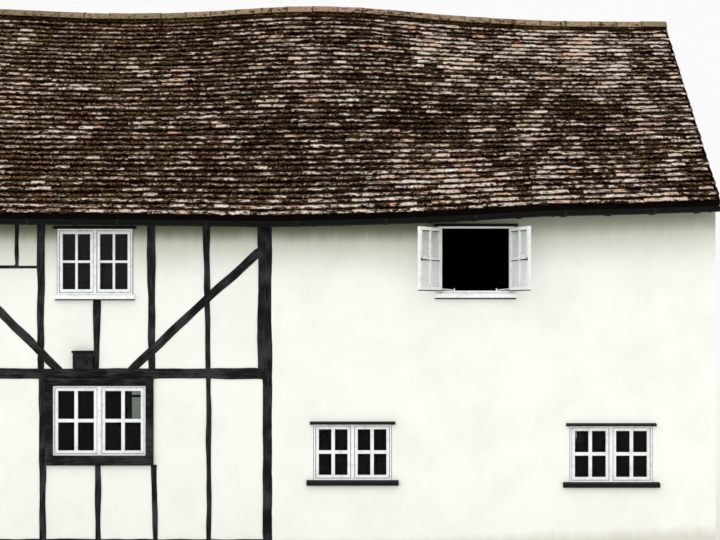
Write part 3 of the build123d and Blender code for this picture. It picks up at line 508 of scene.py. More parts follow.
class Bench:
    """The maker's hand tools: small steps on one mesh at a time."""

    @staticmethod
    def hold(piece: bpy.types.Object) -> None:
        """Selects one piece alone and makes it active."""
        bpy.ops.object.select_all(action="DESELECT")
        piece.select_set(True)
        bpy.context.view_layer.objects.active = piece

    @staticmethod
    def edit(piece: bpy.types.Object, work: Callable[[], None]) -> None:
        """Does some work in edit mode with all of the piece selected.

        Args:
            piece: Mesh object to work on.
            work: What is done in edit mode.
        """
        Bench.hold(piece)
        bpy.ops.object.mode_set(mode="EDIT")
        bpy.ops.mesh.select_all(action="SELECT")
        work()
        bpy.ops.object.mode_set(mode="OBJECT")

    @staticmethod
    def modify(piece: bpy.types.Object, kind: str, **settings: object) -> None:
        """Adds a modifier and applies it.

        Args:
            piece: Mesh object.
            kind: Modifier type.
            settings: Properties of the modifier.
        """
        Bench.hold(piece)
        modifier = piece.modifiers.new(kind.title(), kind)
        for name, value in settings.items():
            setattr(modifier, name, value)
        bpy.ops.object.modifier_apply(modifier=modifier.name)

    @staticmethod
    def settle(piece: bpy.types.Object) -> None:
        """Puts the place, turn and size of the piece into its mesh."""
        Bench.hold(piece)
        bpy.ops.object.transform_apply(location=True, rotation=True, scale=True)

    @staticmethod
    def smooth(piece: bpy.types.Object, angle: float = 40.0) -> None:
        """Smooths the shading across edges flatter than the angle in degrees."""
        Bench.hold(piece)
        bpy.ops.object.shade_smooth_by_angle(angle=math.radians(angle))

    @staticmethod
    def start(primitive: Callable, **settings: object) -> bpy.types.Object:
        """Adds a primitive with nothing else selected.

        Args:
            primitive: Operator that adds it.
            settings: Its size, place and turn.

        Returns:
            The primitive.
        """
        bpy.ops.object.select_all(action="DESELECT")
        primitive(**settings)
        return bpy.context.object

    @staticmethod
    def bar(low: Iterable[float], high: Iterable[float], bevel: float = 0.003) -> bpy.types.Object:
        """A bevelled bar between two corners.

        Args:
            low: Lowest corner in metres.
            high: Highest corner in metres.
            bevel: Width of the bevel in metres.

        Returns:
            The bar, with its place in its mesh.
        """
        low, high = Vector(low), Vector(high)
        piece = Bench.start(bpy.ops.mesh.primitive_cube_add, size=1.0, location=(low + high) / 2)
        piece.scale = high - low
        Bench.settle(piece)
        if bevel:
            Bench.edit(piece, lambda: bpy.ops.mesh.bevel(offset=bevel, segments=2, affect="EDGES"))
        return piece

    @staticmethod
    def rod(radius: float, start: Iterable[float], end: Iterable[float]) -> bpy.types.Object:
        """A round rod between two points.

        Args:
            radius: Radius in metres.
            start: Middle of one end.
            end: Middle of the other end.

        Returns:
            The rod, with its place in its mesh.
        """
        start, end = Vector(start), Vector(end)
        piece = Bench.start(bpy.ops.mesh.primitive_cylinder_add, vertices=12, radius=radius,
                            depth=(end - start).length, location=(start + end) / 2,
                            rotation=(end - start).to_track_quat("Z", "Y").to_euler())
        Bench.settle(piece)
        return piece

    @staticmethod
    def cut(point: Iterable[float], normal: Iterable[float]) -> None:
        """In edit mode, keeps what lies beyond a plane and closes the cut.

        Args:
            point: Point on the plane.
            normal: Direction that what is kept lies in.
        """
        bpy.ops.mesh.select_all(action="SELECT")
        bpy.ops.mesh.bisect(plane_co=point, plane_no=normal, clear_inner=True, use_fill=True)

    @staticmethod
    def mirror(piece: bpy.types.Object, axis: Iterable[float]) -> None:
        """Mirrors a mesh along an axis and keeps its faces outwards."""
        piece.data.transform(Matrix.Scale(-1, 4, axis))
        piece.data.flip_normals()

    @staticmethod
    def join(pieces: list[bpy.types.Object], name: str) -> bpy.types.Object:
        """Joins pieces into one mesh.

        Args:
            pieces: Mesh objects at the origin.
            name: Name of the joined piece.

        Returns:
            The joined piece.
        """
        Bench.hold(pieces[0])
        for piece in pieces[1:]:
            piece.select_set(True)
        if len(pieces) > 1:
            bpy.ops.object.join()
        joined = bpy.context.view_layer.objects.active
        joined.name = name
        joined.data.name = name
        return joined

    @staticmethod
    def turn(piece: bpy.types.Object, pivot: Iterable[float], degrees: float) -> None:
        """Turns the mesh of a piece about a plumb line.

        Args:
            piece: Mesh object at the origin.
            pivot: Point on the line.
            degrees: Angle, seen from above anticlockwise.
        """
        pivot = Vector(pivot)
        turned = Matrix.Rotation(math.radians(degrees), 4, "Z")
        piece.data.transform(Matrix.Translation(pivot) @ turned @ Matrix.Translation(-pivot))

    @staticmethod
    def points(mesh: bpy.types.Mesh) -> np.ndarray:
        """Reads the points of a mesh.

        Args:
            mesh: Mesh.

        Returns:
            Points, n by 3.
        """
        points = np.empty(len(mesh.vertices) * 3)
        mesh.vertices.foreach_get("co", points)
        return points.reshape(-1, 3)

    @staticmethod
    def shape(piece: bpy.types.Object) -> tuple[np.ndarray, list[tuple[int, ...]]]:
        """Reads a mesh into arrays and removes the object.

        Args:
            piece: Template.

        Returns:
            Points and faces.
        """
        points = Bench.points(piece.data)
        faces = [tuple(face.vertices) for face in piece.data.polygons]
        bpy.data.objects.remove(piece)
        return points, faces

    @staticmethod
    def field(name: str, points: np.ndarray, faces: list[tuple[int, ...]],
              attributes: dict[str, np.ndarray] | None = None) -> bpy.types.Object:
        """Makes one joined mesh of many copies of a template.

        Args:
            name: Name of the piece.
            points: Points of every copy, copies by points by 3.
            faces: Faces of the template.
            attributes: Values for each copy.

        Returns:
            The joined piece.
        """
        count, each = points.shape[:2]
        mesh = bpy.data.meshes.new(name)
        all_faces = [tuple(i + copy * each for i in face)
                     for copy in range(count) for face in faces]
        mesh.from_pydata(points.reshape(-1, 3).tolist(), [], all_faces)
        for key, values in (attributes or {}).items():
            values = np.asarray(values, dtype=float)
            spread = np.repeat(values, each) if values.ndim == 1 else values.reshape(-1)
            mesh.attributes.new(key, "FLOAT", "POINT").data.foreach_set("value", spread)
        piece = bpy.data.objects.new(name, mesh)
        bpy.context.collection.objects.link(piece)
        return piece


def finish_piece(piece: bpy.types.Object, finish: Finishes, slot: str,
                 *nodes: str) -> bpy.types.Object:
    """Coats a new piece, puts it on the house and lets it stand for CAD nodes.

    Args:
        piece: Mesh object in place.
        finish: Its finish.
        slot: Material slot of the record; not used.
        nodes: CAD nodes that it replaces.

    Returns:
        The same piece.
    """
    piece.data.materials.clear()
    piece.data.materials.append(finish.coat())
    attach(piece, "root")
    if nodes:
        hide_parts(*nodes)
    LOG.info("%s: %d faces", piece.name, len(piece.data.polygons))
    return piece


def assemble(name: str, parts: list[bpy.types.Object], finish: Finishes, slot: str,
             smooth: bool = False) -> bpy.types.Object:
    """Joins loose parts into one finished piece.

    Args:
        name: Name of the piece.
        parts: Mesh objects in place.
        finish: Their finish.
        slot: Material slot of the record.
        smooth: True for smooth shading across flat edges.

    Returns:
        The piece.
    """
    piece = Bench.join(parts, name)
    if smooth:
        Bench.smooth(piece)
    return finish_piece(piece, finish, slot)


def ripple(points: np.ndarray, size: float, seed: int) -> np.ndarray:
    """Smooth random values between -1 and 1 over space, from a few seeded waves.

    Args:
        points: Places, n by 3.
        size: Length of the waves in metres.
        seed: Seed of the directions and phases.

    Returns:
        One value for each place.
    """
    dice = np.random.default_rng(seed)
    total = np.zeros(len(points))
    for _ in range(6):
        direction = dice.normal(size=3)
        direction *= 2 * math.pi / (size * dice.uniform(0.6, 1.8) * np.linalg.norm(direction))
        total += np.sin(points @ direction + dice.uniform(0, 2 * math.pi))
    return np.clip(total / 3.2, -1, 1)


class Cut(Enum):
    """Way that a timber is sawn across before its faces are worked."""

    LEVEL = (0, 0, 1)       # level cuts through standing timbers
    PLUMB = (1, 0, 0)       # plumb cuts through timbers along the house
    DEEP = (0, 1, 0)        # plumb cuts through timbers across the house


@dataclass(frozen=True)
class HewnFrame:
    """Timbers of the frame, worked by hand: wandering edges and rounded arrises."""

    wander: float = 15.0    # most that an edge wanders, in millimetres
    arris: float = 7.0      # rounding of the edges
    spacing: float = 75.0   # length of timber between two places that wander on their own
    wave: float = 430.0     # length of the wander along a timber
    proud: float = 0.25     # part of the wander that shows out of the wall face
    corner: float = 40.0    # edges sharper than this many degrees are rounded
    apart: float = 3.7      # sets the wander of one face of a timber apart from the next
    wall_face: float = 2.25     # beyond this depth, in metres, faces stand in the long walls
    gable_face: float = 4.25    # and beyond this place in the left gable

    def work(self, name: str, node: str, cuts: list[Cut], finish: Finishes, slot: str,
             wander: float | None = None) -> bpy.types.Object:
        """Works the timbers of one CAD node.

        Args:
            name: Name of the worked piece.
            node: CAD node that it stands for.
            cuts: Ways that the timbers are cut across.
            finish: Finish of the timber.
            slot: Slot of the record.
            wander: Wander in millimetres in place of the usual one.

        Returns:
            The worked piece.
        """
        piece = bpy.data.objects.new(name, NODES[node].data.copy())
        bpy.context.collection.objects.link(piece)
        low, high = (Vector(corner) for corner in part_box(node))

        def saw() -> None:
            """Merges the loose triangles, frees the flat faces and cuts them across."""
            bpy.ops.mesh.remove_doubles(threshold=WELD)
            bpy.ops.mesh.dissolve_limited(angle_limit=0.01)
            for cut in cuts:
                normal = Vector(cut.value)
                start, end = normal.dot(low), normal.dot(high)
                steps = int((end - start) / (self.spacing * MM))
                for i in range(1, steps):
                    place = start + (end - start) * i / steps
                    bpy.ops.mesh.select_all(action="SELECT")
                    bpy.ops.mesh.bisect(plane_co=normal * place, plane_no=normal)

        Bench.edit(piece, saw)
        self.hew(piece, self.wander if wander is None else wander)
        Bench.modify(piece, "BEVEL", width=self.arris * MM, segments=2, limit_method="ANGLE",
                     angle_limit=math.radians(self.corner))
        self.mark_grain(piece)
        Bench.smooth(piece, 35)
        return finish_piece(piece, finish, slot, node)

    def hew(self, piece: bpy.types.Object, wander: float) -> None:
        """Moves the points of the sawn timbers outwards by a wandering amount.

        Args:
            piece: Sawn timbers.
            wander: Most that a point moves in millimetres.
        """
        mesh = piece.data
        points = Bench.points(mesh)
        normals = np.array([vertex.normal for vertex in mesh.vertices])
        places = points + np.sign(normals) * self.apart
        seed = sum(map(ord, piece.name))
        amount = ripple(places, self.wave * MM, seed) * 0.5 + 0.5
        fine = ripple(places, self.wave * MM * 0.4, seed + 1) * 0.2
        outwards = np.ones_like(points)
        outwards[np.abs(points[:, 1]) > self.wall_face, 1] = self.proud
        outwards[points[:, 0] < -self.gable_face, 0] = self.proud
        moved = points + normals * outwards * ((amount + fine) * wander * MM)[:, None]
        mesh.vertices.foreach_set("co", moved.reshape(-1))
        mesh.update()

    @staticmethod
    def mark_grain(piece: bpy.types.Object) -> None:
        """Stores for each timber a place along, across and through its own length, for the grain.

        Args:
            piece: Timbers in one mesh.
        """
        mesh = piece.data
        owner = list(range(len(mesh.vertices)))

        def root(i: int) -> int:
            """First point of the timber that point i belongs to."""
            while owner[i] != i:
                owner[i] = owner[owner[i]]
                i = owner[i]
            return i

        for edge in mesh.edges:
            first, second = (root(i) for i in edge.vertices)
            owner[second] = first
        points = Bench.points(mesh)
        timbers: dict[int, list[int]] = {}
        for i in range(len(points)):
            timbers.setdefault(root(i), []).append(i)
        grain = np.zeros_like(points)
        for number, members in enumerate(timbers.values()):
            own = points[members]
            centre = own.mean(axis=0)
            _, _, axes = np.linalg.svd(own - centre, full_matrices=False)
            grain[members] = (own - centre) @ axes.T + number * GRAIN_STEP
        layer = mesh.attributes.new("grain", "FLOAT_VECTOR", "POINT")
        layer.data.foreach_set("vector", grain.reshape(-1))


class Side(Enum):
    """The two slopes of the roof and the way that each faces."""

    FRONT = -1
    BACK = 1


@dataclass
class Roof:
    """Plain tiles on the sagging slopes, moss on their tails and half-round tiles on the ridge."""

    length: float = 9.0
    half: float = 2.65              # from the ridge line out to the eaves edge
    rise: float = 2.85              # height of a slope, taken for the gauge of its courses
    inset: float = 0.4              # heights are read this far in from eaves edge and ridge line
    near: float = 0.08              # directions are read over twice this length
    courses: int = 41
    tile_width: float = 0.165
    tile_thick: float = 0.014
    tile_long: float = 0.150
    joint: float = 0.006            # open joint beside a tile or between two ridge tiles
    camber: float = 0.005           # rise of a tile's middle over its sides
    tilt: float = 0.020             # how much higher the tail of a tile lies than its head
    bed: float = -0.008             # tiles are bedded this far into the covering of the CAD
    bond: float = 0.25              # part of a width that a course is shifted to its own side
    overhang: float = 0.004         # of the tails past the eaves edge, as a part of the slope
    wavering: float = 0.0022        # of a course up and down, as a part of the slope
    uneven_up: float = 0.0011       # of single tiles, as a part of the slope
    uneven_along: float = 0.0018    # the same along the house, in metres
    uneven_bed: float = 0.002       # and out of the slope, in metres
    lift: tuple[float, float, float] = (0.0035, -0.003, 0.014)  # of tails: spread, least, most
    twist: float = 0.010            # in radians
    chips: tuple[float, float] = (-0.004, 0.007)    # how far tails are chipped or stand out
    chip_reach: float = 0.05
    tail_edge: float = 0.006
    bare_base: float = 0.28         # bareness where nothing adds to it, 0 to 1
    bare_patches: tuple = ((0.26, 2.6, 1.9, 0.85, 0.28),    # amount, then middle and reach along
                           (0.42, 1.25, 0.75, 0.16, 0.10))  # the house and up the slope
    bare_eaves: tuple[float, float] = (0.22, 0.05)          # amount and reach up the slope
    bare_right: tuple[float, float, float] = (0.05, 0.8, 1.8)   # amount, middle and steepness
    bare_ripples: tuple = ((0.15, 1.1, 5), (0.13, 0.45, 8), (0.20, 0.20, 11))   # size and seed last
    bare_spread: float = 0.13       # difference from tile to tile
    moss_tries: int = 12800
    moss_most: int = 6400
    moss_sizes: tuple = ((0.014, 0.055), (0.010, 0.024), (0.007, 0.017))   # along, up and out
    moss_on_bare: float = 1.25      # how strongly bareness keeps the moss away
    fillet_count: int = 330
    fillet_up: float = 0.9725       # part of the way up the slope
    fillet_size: tuple[float, float, float] = (0.036, 0.022, 0.022)
    ridge_tile: float = 0.33
    ridge_radius: float = 0.100
    ridge_tone: tuple = ((-4.5, 0.12), (-0.75, 0.22), (-0.5, 0.70), (0.45, 0.72), (0.8, 0.30),
                         (4.5, 0.25))               # place along the house and tone of the clay
    ridge_bare: tuple = ((0.3, 0.86), (0.65, 0.50), (1.15, 0.52), (1.6, 0.80))
    seed: int = 61

    def __post_init__(self) -> None:
        """Measures the slopes of the CAD model."""
        self.dice = np.random.default_rng(self.seed)
        self.lines = {side: self.measure(side) for side in Side}

    def measure(self, side: Side) -> tuple[np.ndarray, np.ndarray, np.ndarray]:
        """Samples the eaves line and the apex line of a slope.

        Args:
            side: Slope.

        Returns:
            Places along the house, height at the eaves edge and height at the apex.
        """
        node = NODES["roof_front" if side is Side.FRONT else "roof_back"]
        tree = BVHTree.FromPolygons([v.co for v in node.data.vertices],
                                    [tuple(p.vertices) for p in node.data.polygons])
        places = np.linspace(-self.length / 2 + 0.002, self.length / 2 - 0.002, 181)
        rows = []
        for reach in (self.inset, self.half - self.inset):
            above = [Vector((x, side.value * reach, 12.0)) for x in places]
            rows.append(np.array([tree.ray_cast(start, Vector((0, 0, -1)))[0].z
                                  for start in above]))
        slope = (rows[0] - rows[1]) / (self.half - 2 * self.inset)
        return places, rows[1] - slope * self.inset, rows[0] + slope * self.inset

    def frame_at(self, side: Side, x: np.ndarray, up: np.ndarray) -> tuple[np.ndarray, ...]:
        """Places on a slope and the directions there.

        Args:
            side: Slope.
            x: Places along the house.
            up: Part of the way from the eaves edge to the apex, 0 to 1.

        Returns:
            Points, directions along the course, up the slope and out of it.
        """
        places, eaves, apex = self.lines[side]

        def height(at: np.ndarray) -> np.ndarray:
            """Heights of the slope at other places along the house."""
            return np.interp(at, places, eaves) * (1 - up) + np.interp(at, places, apex) * up

        low, high = np.interp(x, places, eaves), np.interp(x, places, apex)
        points = np.stack([x, side.value * self.half * (1 - up), height(x)], axis=-1)
        along = np.stack([np.full_like(x, 2 * self.near), np.zeros_like(x),
                          height(x + self.near) - height(x - self.near)], axis=-1)
        climb = np.stack([np.zeros_like(x), np.full_like(x, -side.value * self.half), high - low],
                         axis=-1)
        along /= np.linalg.norm(along, axis=-1, keepdims=True)
        climb /= np.linalg.norm(climb, axis=-1, keepdims=True)
        out = np.cross(along, climb) * -side.value
        out /= np.linalg.norm(out, axis=-1, keepdims=True)
        return points, along, climb, out

    def bareness(self, side: Side, x: np.ndarray, up: np.ndarray) -> np.ndarray:
        """How bare of moss the tiles are, 0 to 1.

        Args:
            side: Slope.
            x: Places along the house.
            up: Part of the way up the slope.

        Returns:
            One value for each place.
        """
        reach = x if side is Side.FRONT else -x
        bare = self.bare_base
        for amount, middle, wide, middle_up, tall in self.bare_patches:
            bare = bare + amount * np.exp(-((reach - middle) / wide) ** 2
                                          - ((up - middle_up) / tall) ** 2)
        bare = bare + self.bare_eaves[0] * np.exp(-(up / self.bare_eaves[1]) ** 2)
        amount, middle, steep = self.bare_right
        bare = bare + amount * (1 / (1 + np.exp(-(reach - middle) * steep)))
        places = np.stack([x, np.full_like(x, side.value * 3.0), up * 3.9], axis=-1)
        wander = sum(amount * ripple(places, size, seed)
                     for amount, size, seed in self.bare_ripples)
        return np.clip(bare + wander, 0, 1)

    def one_tile(self) -> tuple[np.ndarray, list[tuple[int, ...]]]:
        """A plain tile: cambered, with its tail at y = 0 and its head up the slope.

        Returns:
            Points and faces.
        """
        tile = Bench.start(bpy.ops.mesh.primitive_grid_add, x_subdivisions=4, y_subdivisions=1,
                           size=1.0)
        tile.scale = (self.tile_width - self.joint, self.tile_long, 1)
        tile.location = (0, self.tile_long / 2, 0)
        Bench.settle(tile)
        for vertex in tile.data.vertices:
            across = vertex.co.x / (self.tile_width / 2)
            vertex.co.z = (self.camber * (1 - across * across)
                           + self.tilt * (1 - vertex.co.y / self.tile_long))
        Bench.modify(tile, "SOLIDIFY", thickness=self.tile_thick, offset=1.0)
        points = [vertex.co for vertex in tile.data.vertices]
        tail = [edge.index for edge in tile.data.edges
                if all(points[i].y < 0.002 and points[i].z > self.tilt for i in edge.vertices)]

        def round_tail() -> None:
            """Takes the sharp edge off the tail."""
            bpy.ops.mesh.select_all(action="DESELECT")
            bpy.ops.object.mode_set(mode="OBJECT")
            for index in tail:
                tile.data.edges[index].select = True
            bpy.ops.object.mode_set(mode="EDIT")
            bpy.ops.mesh.select_mode(type="EDGE")
            bpy.ops.mesh.bevel(offset=0.004, segments=1, affect="EDGES")

        Bench.edit(tile, round_tail)
        return Bench.shape(tile)

    def lay(self, side: Side) -> bpy.types.Object:
        """Lays the courses of one slope.

        Args:
            side: Slope.

        Returns:
            The tiles of the slope.
        """
        template, faces = self.one_tile()
        x, up = self.bond_places()
        count = len(x)
        waver = np.stack([x, up * 40.0, np.zeros(count)], axis=-1)      # each course on its own
        up = (up + self.wavering * ripple(waver, 1.3, 3)
              + self.dice.normal(0, self.uneven_up, count))
        x = x + self.dice.normal(0, self.uneven_along, count)
        points, along, climb, out = self.frame_at(side, x, up)
        bed = self.bed + np.abs(self.dice.normal(0, self.uneven_bed, count))
        points = points + out * bed[:, None]
        spread, least, most = self.lift
        lift = np.clip(self.dice.normal(0.0, spread, count), least, most)
        twist = self.dice.normal(0, self.twist, count)
        local = np.repeat(template[None], count, axis=0)
        near_tail = np.clip(1 - local[..., 1] / self.chip_reach, 0, 1)
        chips = self.dice.uniform(*self.chips, local.shape[:2]) * near_tail
        local[..., 1] += np.where(local[..., 1] < self.tail_edge, chips, 0)
        local[..., 2] += lift[:, None] * (1 - local[..., 1] / self.tile_long)
        local[..., 1] += twist[:, None] * local[..., 0]
        tone = self.dice.uniform(0, 1, count)
        bare = self.bareness(side, x, up) + self.dice.normal(0, self.bare_spread, count)
        gauge = math.hypot(self.half, self.rise) / self.courses
        # rise places the painted shade under the next course and at the tail of each tile
        values = {"tone": tone, "bare": np.clip(bare, 0, 1), "rise": local[..., 1] / gauge}
        piece = self.set_out("tiles", side, faces, points, local, (along, climb, out), values)
        Bench.smooth(piece, 35)
        return finish_piece(piece, Finishes.CLAY_TILE, "clay_tile")

    def bond_places(self) -> tuple[np.ndarray, np.ndarray]:
        """Places of the tiles of one slope, each course shifted against the next.

        Returns:
            Places along the house and parts of the way up the slope.
        """
        across = int(round(self.length / self.tile_width))
        width = self.length / across
        course, number = np.divmod(np.arange(self.courses * across), across)
        shift = np.where(course % 2, self.bond, -self.bond)
        edge = self.length / 2 - width * 0.5
        x = np.clip(-self.length / 2 + (number + 0.5 + shift) * width, -edge, edge)
        return x, course / self.courses - self.overhang

    @staticmethod
    def set_out(name: str, side: Side, faces: list[tuple[int, ...]], points: np.ndarray,
                local: np.ndarray, axes: Sequence[np.ndarray],
                values: dict[str, np.ndarray] | None = None) -> bpy.types.Object:
        """Makes one mesh of the many like pieces of a slope.

        Args:
            name: Name of the piece, without its side.
            side: Slope.
            faces: Faces of one copy.
            points: Place of each copy.
            local: Points of each copy about its place.
            axes: Directions along the course, up the slope and out of it at each place.
            values: Attributes.

        Returns:
            The piece.
        """
        placed = points[:, None]
        for i, axis in enumerate(axes):
            placed = placed + local[..., i:i + 1] * axis[:, None]
        if side is Side.BACK:
            faces = [face[::-1] for face in faces]
        return Bench.field(f"{name}_{side.name.lower()}", placed, faces, values)

    @staticmethod
    def cushion() -> tuple[np.ndarray, list[tuple[int, ...]]]:
        """Points and faces of a round cushion, one metre in radius."""
        return Bench.shape(Bench.start(bpy.ops.mesh.primitive_ico_sphere_add, subdivisions=1,
                                       radius=1.0))

    def grow_moss(self, side: Side) -> bpy.types.Object:
        """Sets cushions of moss on the tails of the courses.

        Args:
            side: Slope.

        Returns:
            The moss of the slope.
        """
        template, faces = self.cushion()
        tries, edge = self.moss_tries, self.length / 2 - 0.05
        x = self.dice.uniform(-edge, edge, tries)
        course = self.dice.integers(0, self.courses, tries)
        up = course / self.courses - 0.003 + self.dice.normal(0.0015, 0.0018, tries)
        keep = self.dice.uniform(0, 1, tries) > self.bareness(side, x, up) * self.moss_on_bare
        x, up = x[keep][:self.moss_most], up[keep][:self.moss_most]
        count = len(x)
        points, *axes = self.frame_at(side, x, up)
        sizes = [self.dice.uniform(*limits, count) for limits in self.moss_sizes]
        points = points + axes[2] * (0.014 + self.dice.uniform(0, 0.008, count))[:, None]
        local = template[None] * self.dice.uniform(0.75, 1.25, (count, len(template), 1))
        axes = [axis * size[:, None] for axis, size in zip(axes, sizes)]
        piece = self.set_out("moss", side, faces, points, local, axes)
        Bench.smooth(piece, 180)
        return finish_piece(piece, Finishes.MOSS, "clay_tile")

    def ridge_bays(self) -> tuple[int, float]:
        """Number of ridge tiles and the length that each covers."""
        count = int(round(self.length / self.ridge_tile))
        return count, self.length / count

    def cap(self) -> bpy.types.Object:
        """Beds half-round tiles along the ridge.

        Returns:
            The ridge tiles.
        """
        count, long = self.ridge_bays()
        tile = Bench.start(bpy.ops.mesh.primitive_cylinder_add, vertices=28,
                           radius=self.ridge_radius, depth=long - self.joint,
                           rotation=(0, math.pi / 2, 0))
        Bench.settle(tile)

        def halve() -> None:
            """Keeps the upper half and rounds its rims."""
            Bench.cut((0, 0, -0.004), (0, 0, 1))
            bpy.ops.mesh.select_all(action="SELECT")
            bpy.ops.mesh.bevel(offset=0.005, segments=1, affect="EDGES")

        Bench.edit(tile, halve)
        template, faces = Bench.shape(tile)
        x = -self.length / 2 + (np.arange(count) + 0.5) * long
        top = self.ridge_heights(x)
        slope = (self.ridge_heights(x + long / 2) - self.ridge_heights(x - long / 2)) / long
        local = np.repeat(template[None], count, axis=0)
        local = local * self.dice.uniform(0.97, 1.03, (count, 1, 1)) ** np.array([0.0, 1.0, 1.0])
        tilt = slope + self.dice.normal(0, 0.006, count)
        placed = local.copy()
        placed[..., 2] += top[:, None] - self.ridge_radius + tilt[:, None] * local[..., 0]
        placed[..., 0] += x[:, None]
        placed[..., 1] += self.dice.normal(0, 0.004, count)[:, None]
        tone = np.interp(x, *zip(*self.ridge_tone)) + self.dice.normal(0, 0.11, count)
        bare = np.interp(x, *zip(*self.ridge_bare)) + self.dice.normal(0, 0.10, count)
        # rise darkens the feet of the ridge tiles with painted shade
        rise = 0.1 + 0.95 * np.clip(1 - local[..., 2] / self.ridge_radius, 0, 1) ** 6
        tones = {"tone": np.clip(tone, 0, 1), "bare": np.clip(bare, 0, 1), "rise": rise}
        piece = Bench.field("ridge_tiles", placed, faces, tones)
        Bench.smooth(piece, 40)
        return finish_piece(piece, Finishes.RIDGE_TILE, "ridge_tile", "ridge")

    def ridge_heights(self, x: np.ndarray) -> np.ndarray:
        """Height of the ridge top of the CAD model at some places along it.

        Args:
            x: Places along the house.

        Returns:
            Heights.
        """
        places, _, apex = self.lines[Side.FRONT]
        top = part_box("ridge")[1][2] - apex.max()
        return np.interp(x, places, apex) + top

    def bed_ridge(self) -> bpy.types.Object:
        """Packs mortar into the joints between the ridge tiles and along their feet.

        Returns:
            The mortar.
        """
        count, long = self.ridge_bays()
        ring = Bench.start(bpy.ops.mesh.primitive_cylinder_add, vertices=24,
                           radius=self.ridge_radius + 0.001, depth=0.016,
                           rotation=(0, math.pi / 2, 0))
        Bench.settle(ring)
        Bench.edit(ring, lambda: Bench.cut((0, 0, -0.020), (0, 0, 1)))
        template, faces = Bench.shape(ring)
        x = -self.length / 2 + np.arange(1, count) * long
        local = np.repeat(template[None], count - 1, axis=0)
        local = local + self.dice.normal(0, 0.0030, local.shape)
        placed = local.copy()
        placed[..., 0] += x[:, None]
        placed[..., 2] += self.ridge_heights(x)[:, None] - self.ridge_radius
        piece = Bench.field("ridge_mortar", placed, faces)
        Bench.smooth(piece, 60)
        return finish_piece(piece, Finishes.MORTAR, "ridge_tile")

    def fill_foot(self, side: Side) -> bpy.types.Object:
        """Packs a rough fillet of mortar and moss under the ridge tiles.

        Args:
            side: Slope.

        Returns:
            The fillet.
        """
        template, faces = self.cushion()
        count, edge = self.fillet_count, self.length / 2 - 0.06
        x = np.linspace(-edge, edge, count) + self.dice.normal(0, 0.008, count)
        up = self.fillet_up + self.dice.normal(0, 0.0010, count)
        points, *axes = self.frame_at(side, x, up)
        points = points + axes[2] * 0.024
        sizes = self.dice.uniform(0.7, 1.15, (3, count)) * np.array(self.fillet_size)[:, None]
        local = template[None] * self.dice.uniform(0.8, 1.2, (count, len(template), 1))
        axes = [axis * size[:, None] for axis, size in zip(axes, sizes)]
        piece = self.set_out("ridge_fillet", side, faces, points, local, axes)
        Bench.smooth(piece, 180)
        return finish_piece(piece, Finishes.MOSS, "ridge_tile")

    def build(self) -> None:
        """Tiles both slopes and caps the ridge."""
        for side in Side:
            self.lay(side)
            self.grow_moss(side)
            self.fill_foot(side)
        self.cap()
        self.bed_ridge()


@dataclass(frozen=True)
class Opening:
    """Window opening in a long wall, in millimetres."""

    x: float                # middle
    z: float                # foot
    width: float
    height: float
    mullion: float = 0.0    # between its two leaves
    bar: float = 28.0       # face width of its glazing bars


WINDOWS = {"upper_left": Opening(-2552, 3093, 852, 741, 34),
           "lower_left": Opening(-2502, 1260, 1054, 790, 50, 40.0),
           "lower_middle": Opening(376, 982, 881, 632, 40, 40.0),
           "lower_right": Opening(3313, 959, 932, 636, 40, 40.0),
           "open": Opening(1773, 3115, 865, 747),
           "upper_right_back": Opening(3313, 3115, 821, 747, 34)}


@dataclass
class Casement:
    """One leaf of a window: the bars that part its pane into four."""

    x: float                # hinge edge or left edge of the leaf, in millimetres
    y: float                # front of the leaf
    z: float                # foot of the leaf
    width: float
    height: float
    bar: float = 28.0       # face width of a glazing bar
    stile: float = 38.0
    thick: float = 34.0
    turn: float = 0.0       # degrees that the leaf is swung about its hinge edge
    right: bool = False     # hinged on its right edge
    knuckle: float = 8.0    # how far the line of the hinges stands in front of the leaf

    @property
    def hand(self) -> int:
        """Way from the hinge edge into the opening, 1 to the right."""
        return -1 if self.right else 1

    @property
    def pivot(self) -> Vector:
        """Point on the line of the hinges."""
        return mm(self.x, self.y - self.knuckle, 0)

    def place(self, low: tuple, high: tuple, bevel: float = 0.003) -> bpy.types.Object:
        """A bar given by its place in the leaf, in millimetres from the hinge edge, front and foot.

        Args:
            low: Lowest corner.
            high: Highest corner.
            bevel: Bevel in metres.

        Returns:
            The bar in its place on the house.
        """
        ends = sorted((self.hand * low[0], self.hand * high[0]))
        piece = Bench.bar(mm(self.x + ends[0], self.y + low[1], self.z + low[2]),
                          mm(self.x + ends[1], self.y + high[1], self.z + high[2]), bevel)
        if self.turn:
            Bench.turn(piece, self.pivot, -self.hand * self.turn)
        return piece

    def bars(self) -> list[bpy.types.Object]:
        """The upright and the level glazing bar.

        Returns:
            Two bars.
        """
        middle, half, high = self.width / 2, self.bar / 2, self.height / 2
        inner = self.stile - 4
        return [self.place((middle - half, 4, inner),
                           (middle + half, self.thick - 6, self.height - inner)),
                self.place((inner, 5, high - half),
                           (self.width - inner, self.thick - 7, high + half))]

    def painted_shade_strips(self) -> list[bpy.types.Object]:
        """Painted shade under the top rail and the level bar, on the face indoors when shut.

        Returns:
            Two thin strips.
        """
        line, back, face = 8.0, self.thick - 15, self.thick - 7
        tops = (self.height - self.stile, self.height / 2 - self.bar / 2)
        return [self.place((self.stile, back, top - line),
                           (self.width - self.stile, face, top), 0.0) for top in tops]

    def gap(self) -> list[bpy.types.Object]:
        """The dark line of shadow between a shut leaf and its frame.

        Returns:
            Four thin strips round the leaf.
        """
        line, proud, back = 5.5, -0.8, 6.0
        wide, high = self.width, self.height
        strips = (((0, 0), (line, high)), ((wide - line, 0), (wide, high)),
                  ((line, 0), (wide - line, line)), ((line, high - line), (wide - line, high)))
        return [self.place((x0, proud, z0), (x1, back, z1), 0.0)
                for (x0, z0), (x1, z1) in strips]


